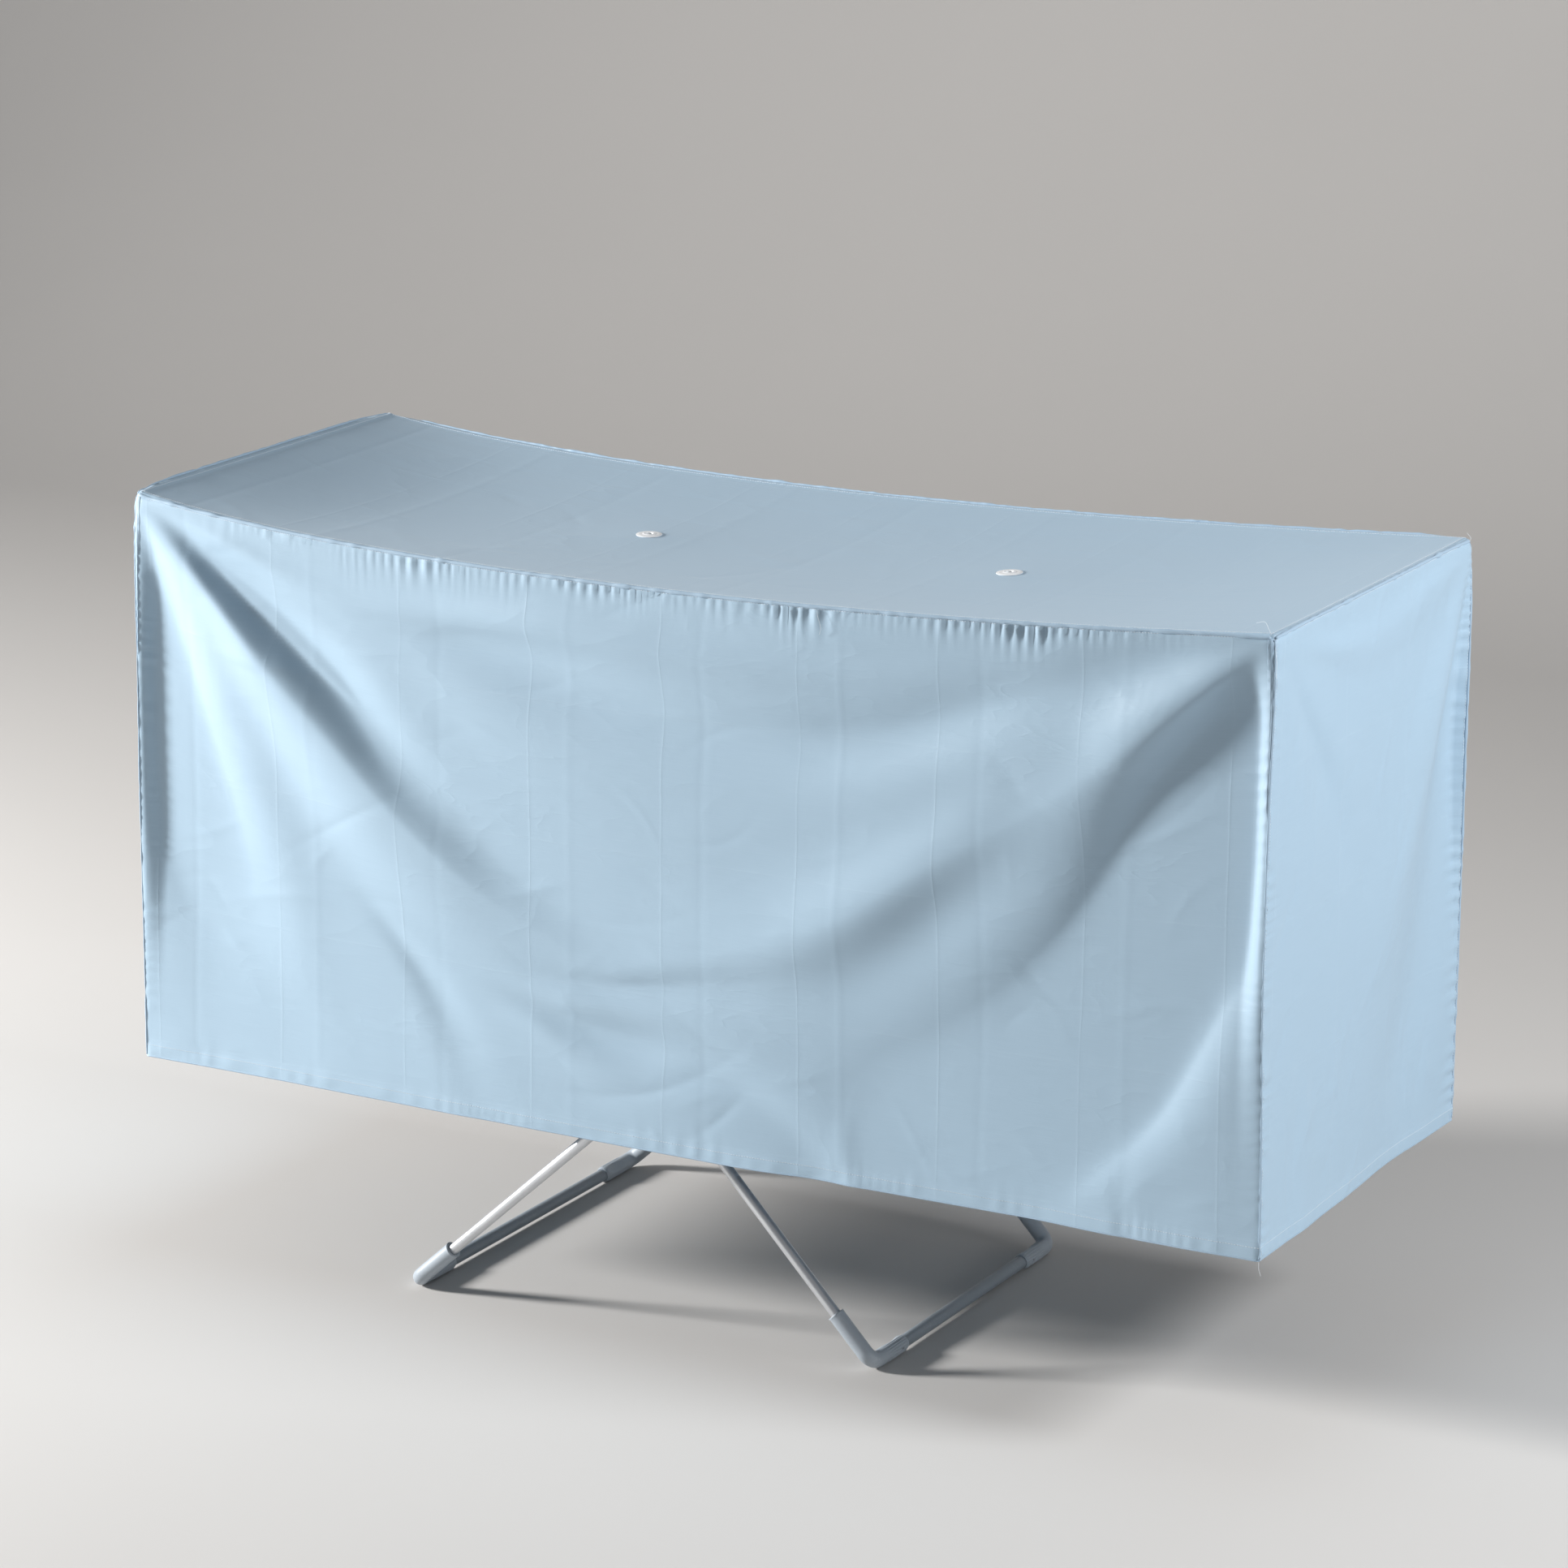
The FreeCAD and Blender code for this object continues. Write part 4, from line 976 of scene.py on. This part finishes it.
def add_loose_threads(panels):
    """A few uncut thread ends at the corners and along the hem."""
    corner = panels["right"].points[0, 0]
    low_corner = panels["front"].points[-1, -1]
    rear = panels["right"].points[0, -1]
    middle = panels["front"].points[0, panels["front"].along.shape[1] * 5 // 8]
    parts = [
        thread_end(corner, [(0.004, -0.004, -0.012), (0.010, -0.012, -0.030), (0.006, -0.004, -0.052)]),
        thread_end(corner, [(-0.010, 0.006, 0.010), (-0.022, 0.020, 0.016), (-0.040, 0.034, 0.010)]),
        thread_end(corner + (0.001, 0, -0.16), [(0.003, 0.012, -0.006), (0.003, 0.028, -0.012)]),
        thread_end(low_corner, [(0.002, -0.004, -0.010), (0.006, -0.006, -0.018)]),
        thread_end(rear, [(0.002, 0.005, 0.004), (-0.006, 0.010, 0.010)]),
        thread_end(middle, [(0.004, -0.006, -0.010), (0.010, -0.008, -0.026), (0.007, -0.006, -0.036)]),
    ]
    return make_piece("cover_loose_threads", *joined(parts), THREAD)


# ---------------------------------------------------------------- eyelets


def turned(profile, centre, axis, around=72):
    """A ring turned about an axis from (radius, height) pairs, which close on themselves."""
    axis = unit(np.array(axis, float))
    first = unit(np.cross(axis, (0, 1, 0)))
    second = np.cross(axis, first)
    turns = np.arange(around) * 2 * math.pi / around
    radial = np.cos(turns)[:, None] * first + np.sin(turns)[:, None] * second
    centres = np.repeat(np.array(centre, float)[None], around, 0)
    return sweep(centres, radial, np.repeat(axis[None], around, 0), profile, closed_path=True)


def rounded(corners, radius, steps=4):
    """A closed outline with each corner rounded. Corners are (radius, height) pairs."""
    corners = np.array(corners, float)
    outline = []
    for before, corner, after in zip(np.roll(corners, 1, 0), corners, np.roll(corners, -1, 0)):
        inward, onward = before - corner, after - corner
        cut_in = min(radius, np.linalg.norm(inward) / 2.2)
        cut_on = min(radius, np.linalg.norm(onward) / 2.2)
        start, end = corner + unit(inward) * cut_in, corner + unit(onward) * cut_on
        for share in np.linspace(0, 1, steps):
            pulls = (1 - share) ** 2, 2 * share * (1 - share), share**2
            outline.append(pulls[0] * start + pulls[1] * corner + pulls[2] * end)
    return outline


def eyelet_seat(word, top):
    """The row and column of the top panel's point that is nearest to an eyelet."""
    low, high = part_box(f"eyelet_{word}")
    middle = (low + high) / 2
    gap = np.hypot(top.points[..., 0] - middle.x, top.points[..., 1] - middle.y)
    return np.unravel_index(gap.argmin(), gap.shape)


def open_hole(panel, seat, radius):
    """Opens a round hole in the cloth, with its middle at one of the panel's points."""
    centre, axis = panel.points[seat], panel.normals[seat]
    off = panel.points - centre
    flat_off = off - (off @ axis)[..., None] * axis
    away = np.linalg.norm(flat_off, axis=-1)
    short = (away < radius) & (away > 0)
    panel.points[short] += (unit(flat_off) * (radius - away)[..., None])[short]
    panel.holes.append(seat)


EYELET_BORE, EYELET_BARREL, EYELET_THICK = 0.0055, 0.0069, 0.0016
EYELET_BED = 0.0002   # how far the flange's underside stands off the cloth


def add_eyelet(word, top):
    """A flanged white ring on the cloth, and the washer that it is set into underneath."""
    seat = eyelet_seat(word, top)
    centre, axis = top.points[seat].copy(), top.normals[seat]
    low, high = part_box(f"eyelet_{word}")
    radius = (high.y - low.y) / 2
    bore, barrel, thick, bed = EYELET_BORE, EYELET_BARREL, EYELET_THICK, EYELET_BED
    flange = rounded([
        (bore, -0.0018), (barrel, -0.0018), (barrel, bed), (radius - 0.004, bed), (radius, bed),
        (radius, bed + 0.0008), (radius - 0.0045, bed + thick), (barrel + 0.0030, bed + thick * 0.9),
        (barrel + 0.0010, bed + thick * 1.5), (bore, bed + thick * 1.25),
    ], 0.0007)
    washer = rounded([
        (barrel, -0.0022), (radius, -0.0022), (radius, -0.0010), (barrel, -0.0010),
    ], 0.0004)
    white = FINISHES["eyelet_plastic"]
    ring = make_piece(f"cover_eyelet_{word}", *turned(flange[::-1], centre, axis), white)
    under = make_piece(f"cover_washer_{word}", *turned(washer[::-1], centre, axis), white)
    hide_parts(f"eyelet_{word}")
    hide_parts(f"eyelet_washer_{word}")
    return ring, under


# ---------------------------------------------------------------- the cover, made up


def add_cover():
    flat, numbers = lattice()
    points, folded = start_shape(flat, numbers)
    points = points + let_hang(flat, folded, numbers, hold(flat, numbers))
    panels = {name: Panel(name, points[rows], flat[rows]) for name, rows in numbers.items()}
    for panel in panels.values():
        detail(panel)
    for word in ("left", "right"):
        open_hole(panels["top"], eyelet_seat(word, panels["top"]), EYELET_BARREL)
    cloths = {name: panel.make() for name, panel in panels.items()}
    stitching, seams = add_sewing(panels)
    hem = add_hem(panels)
    tabs = add_corner_tabs(panels)
    threads = add_loose_threads(panels)
    eyelets = [piece for word in ("left", "right") for piece in add_eyelet(word, panels["top"])]
    for name, cloth in cloths.items():
        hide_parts(f"cover_{name}")
    for piece in (*cloths.values(), stitching, seams, hem, tabs, threads, *eyelets):
        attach(piece, "cover")


# ---------------------------------------------------------------- foot elbows

LEG_REACH, BAR_REACH, ELBOW_BEND = 0.085, 0.092, 0.017
ELBOW_RADIUS = 0.012
LEG_MOUTH, BAR_MOUTH = 0.0083, 0.0097   # the radii of the two sockets
RIBS = 22


def elbow_places():
    """For each foot: its name, body, corner point, which side it is on and the way its leg goes."""
    low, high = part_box("rack_side_tube_front")
    radius = (high.z - low.z) / 2
    places = []
    for legs, top_side in (("inner", -1), ("outer", 1)):
        low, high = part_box(f"{legs}_leg_tube")
        top = Vector(((low.x + radius) if top_side < 0 else (high.x - radius), 0, high.z - radius))
        bar_low, bar_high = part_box(f"{legs}_foot_bar")
        foot = (bar_low + bar_high) / 2
        way = (top - Vector((foot.x, 0, foot.z))).normalized()
        for word, side in (("front", -1), ("rear", 1)):
            box_low, box_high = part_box(f"{legs}_foot_{word}")
            outer = (-box_low.y if side < 0 else box_high.y) - ELBOW_RADIUS
            corner = Vector((foot.x, side * outer, foot.z))
            places.append((f"{legs}_foot_{word}", f"{legs}_legs", corner, side, way))
    return places


def elbow_line(corner, side, way):
    """Stations from the leg's socket mouth round the bend to the bar's, as points and directions."""
    inward = np.array((0, -side, 0), float)
    way, corner = np.array(way), np.array(corner)
    leg = [corner + way * reach for reach in np.linspace(LEG_REACH, ELBOW_BEND, 30, endpoint=False)]
    centre = corner + (way + inward) * ELBOW_BEND
    turns = np.linspace(0, math.pi / 2, 14)
    bend = [centre - ELBOW_BEND * (inward * math.cos(turn) + way * math.sin(turn)) for turn in turns]
    bar = [corner + inward * reach for reach in np.linspace(BAR_REACH, ELBOW_BEND, 44, endpoint=False)][::-1]
    points = np.array(leg + bend + bar)
    return points, unit(np.gradient(points, axis=0)), np.cross(way, inward)


def add_elbow(name, body, corner, side, way):
    """A moulded elbow: plain on the leg's side, ribbed and flattened on the bar's side."""
    points, ways, across = elbow_line(corner, side, way)
    across = unit(across)
    gone = np.concatenate([[0], np.cumsum(np.linalg.norm(np.diff(points, axis=0), axis=1))])
    left = gone[-1] - gone
    around = 6 * RIBS
    turns = np.arange(around) * 2 * math.pi / around
    radii = np.full((len(points), around), ELBOW_RADIUS)
    # The thin rolled lip at the leg's mouth, and the rounded shoulder at the bar's.
    radii += 0.0007 * np.exp(-((gone / 0.0016) ** 2))[:, None]
    radii -= 0.0016 * (1 - ease(left / 0.006))[:, None]
    # Ribs on the lower and outer side of the bar's arm, which fade out towards the bend.
    ribbed = ease((left - 0.004) / 0.004) * (1 - ease((left - 0.052) / 0.010))
    away_from_top = ease((1 - np.cos(turns - math.pi / 2)) * 1.6)
    ribs = 0.00055 * (np.cos(RIBS * turns) ** 3)
    radii += ribbed[:, None] * away_from_top[None] * ribs[None]
    # The long flat on top of the bar's arm, in the shape of a lens.
    top_line = np.sin(turns)
    flat_reach = np.clip((left - 0.004) / 0.048, 0, 1)
    depth = ELBOW_RADIUS - 0.0022 * np.sin(math.pi * flat_reach) ** 0.8
    cut_at = depth[:, None] / np.maximum(top_line[None], 1e-3)
    is_flat = (top_line[None] > 0.3) & (flat_reach[:, None] > 0) & (flat_reach[:, None] < 1)
    radii = np.where(is_flat, np.minimum(radii, cut_at), radii)
    sides = np.repeat(across[None], len(points), 0)
    ups = np.cross(sides, ways)
    # Turns count from the side, so that a quarter turn is the top of the bar's arm.
    up_sign = 1 if ups[-1, 2] > 0 else -1
    ups = ups * up_sign
    cosines, sines = np.cos(turns)[:, None], np.sin(turns)[:, None]
    circles = [cosines * side_way + sines * up_way for side_way, up_way in zip(sides, ups)]
    rings = [points[at] + radii[at][:, None] * circle for at, circle in enumerate(circles)]
    for at, bore, deep in ((0, LEG_MOUTH, 1), (-1, BAR_MOUTH, -1)):
        mouth = []
        for share, sink in ((0.5, 0.0), (0.0, 0.0004), (0.0, 0.004)):
            radius = bore + share * (radii[at] - bore)
            centre = points[at] + ways[at] * sink * deep
            mouth.append(centre + radius[:, None] * circles[at])
        rings = mouth[::-1] + rings if at == 0 else rings + mouth
    net = np.stack(rings)
    numbers = np.arange(net.shape[0] * around).reshape(net.shape[:2])
    looped = np.concatenate([numbers, numbers[:, :1]], 1)
    faces = [tuple(face) for face in net_faces(looped, up_sign < 0)]
    ends = [tuple(numbers[0][::-1]), tuple(numbers[-1])]
    faces += ends if up_sign > 0 else [end[::-1] for end in ends]
    elbow = make_piece(f"{name}_elbow", net.reshape(-1, 3), faces, FINISHES["grey_plastic"])
    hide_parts(name)
    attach(elbow, body)


# ---------------------------------------------------------------- floor, light and camera


def add_floor():
    """A plain pale floor that curves up into a backdrop well behind the airer."""
    half, start, radius = 9.0, -9.0, 3.0
    line = [(start, 0.0), (4.0, 0.0)]
    for t in np.linspace(0.1, math.pi / 2, 14):
        line.append((4.0 + radius * math.sin(t), radius * (1 - math.cos(t))))
    line += [(4.0 + radius, 9.0)]
    points = [(x, y, z) for y, z in line for x in (-half, half)]
    numbers = np.arange(len(points)).reshape(-1, 2)
    paper, tree, shader = start_material("pale_paper", Roughness=0.85)
    fine = use(tree, GRAIN, Grains_per_metre=900.0, Patches_per_metre=0.6)
    tone = mixed(tree, fine.outputs["Patches"], (0.60, 0.58, 0.56, 1), (0.64, 0.62, 0.60, 1))
    tree.links.new(tone, shader.inputs["Base Color"])
    tree.links.new(bump(tree, fine.outputs["Height"], 0.1, 0.0003), shader.inputs["Normal"])
    floor = make_piece("studio_floor", points, net_faces(numbers, True)[:, ::-1], paper)


def add_light(name, place, aim, size, power, colour=(1, 1, 1)):
    light = bpy.data.lights.new(name, "AREA")
    light.shape = "DISK"
    light.size, light.energy, light.color = size, power, colour
    lamp = bpy.data.objects.new(name, light)
    lamp.location = place
    lamp.rotation_euler = (Vector(aim) - Vector(place)).to_track_quat("-Z", "Y").to_euler()
    bpy.context.scene.collection.objects.link(lamp)


def add_lights():
    aim = (0, 0, 0.75)
    add_light("key_left", (-5.5, -2.25, 2.2), aim, 1.0, 650, (1, 0.99, 0.975))
    add_light("end_right", (5.2, -0.3, 1.2), (0.9, 0, 0.85), 1.6, 40, (0.96, 0.98, 1))
    add_light("top_right", (3.5, 0.1, 2.8), (0.8, 0, 1.0), 1.0, 88, (0.96, 0.98, 1))
    world = bpy.data.worlds.new("studio")
    bpy.context.scene.world = world
    world.use_nodes = True
    background = world.node_tree.nodes["Background"]
    background.inputs["Color"].default_value = (0.90, 0.93, 0.97, 1)
    background.inputs["Strength"].default_value = 0.22
    bpy.context.scene.view_settings.view_transform = "Standard"


def add_camera():
    yaw, pitch, roll = (math.radians(angle) for angle in (-28.63, 15.1, 0.316))
    flat = math.cos(pitch)
    forward = Vector((math.sin(yaw) * flat, math.cos(yaw) * flat, -math.sin(pitch)))
    level = Vector((math.cos(yaw), -math.sin(yaw), 0))
    upward = level.cross(forward)
    right = level * math.cos(roll) + upward * math.sin(roll)
    up = upward * math.cos(roll) - level * math.sin(roll)
    camera = bpy.data.cameras.new("camera")
    camera.lens, camera.sensor_width = 125.59, 36
    eye = bpy.data.objects.new("camera", camera)
    turn = Matrix((right, up, -forward)).transposed().to_4x4()
    turn.translation = Vector((3.634, -6.677, 2.802))
    eye.matrix_world = turn
    bpy.context.scene.collection.objects.link(eye)
    bpy.context.scene.camera = eye


add_camera()
finish_nodes()
add_cover()
for place in elbow_places():
    add_elbow(*place)
add_floor()
add_lights()

bpy.context.view_layer.update()
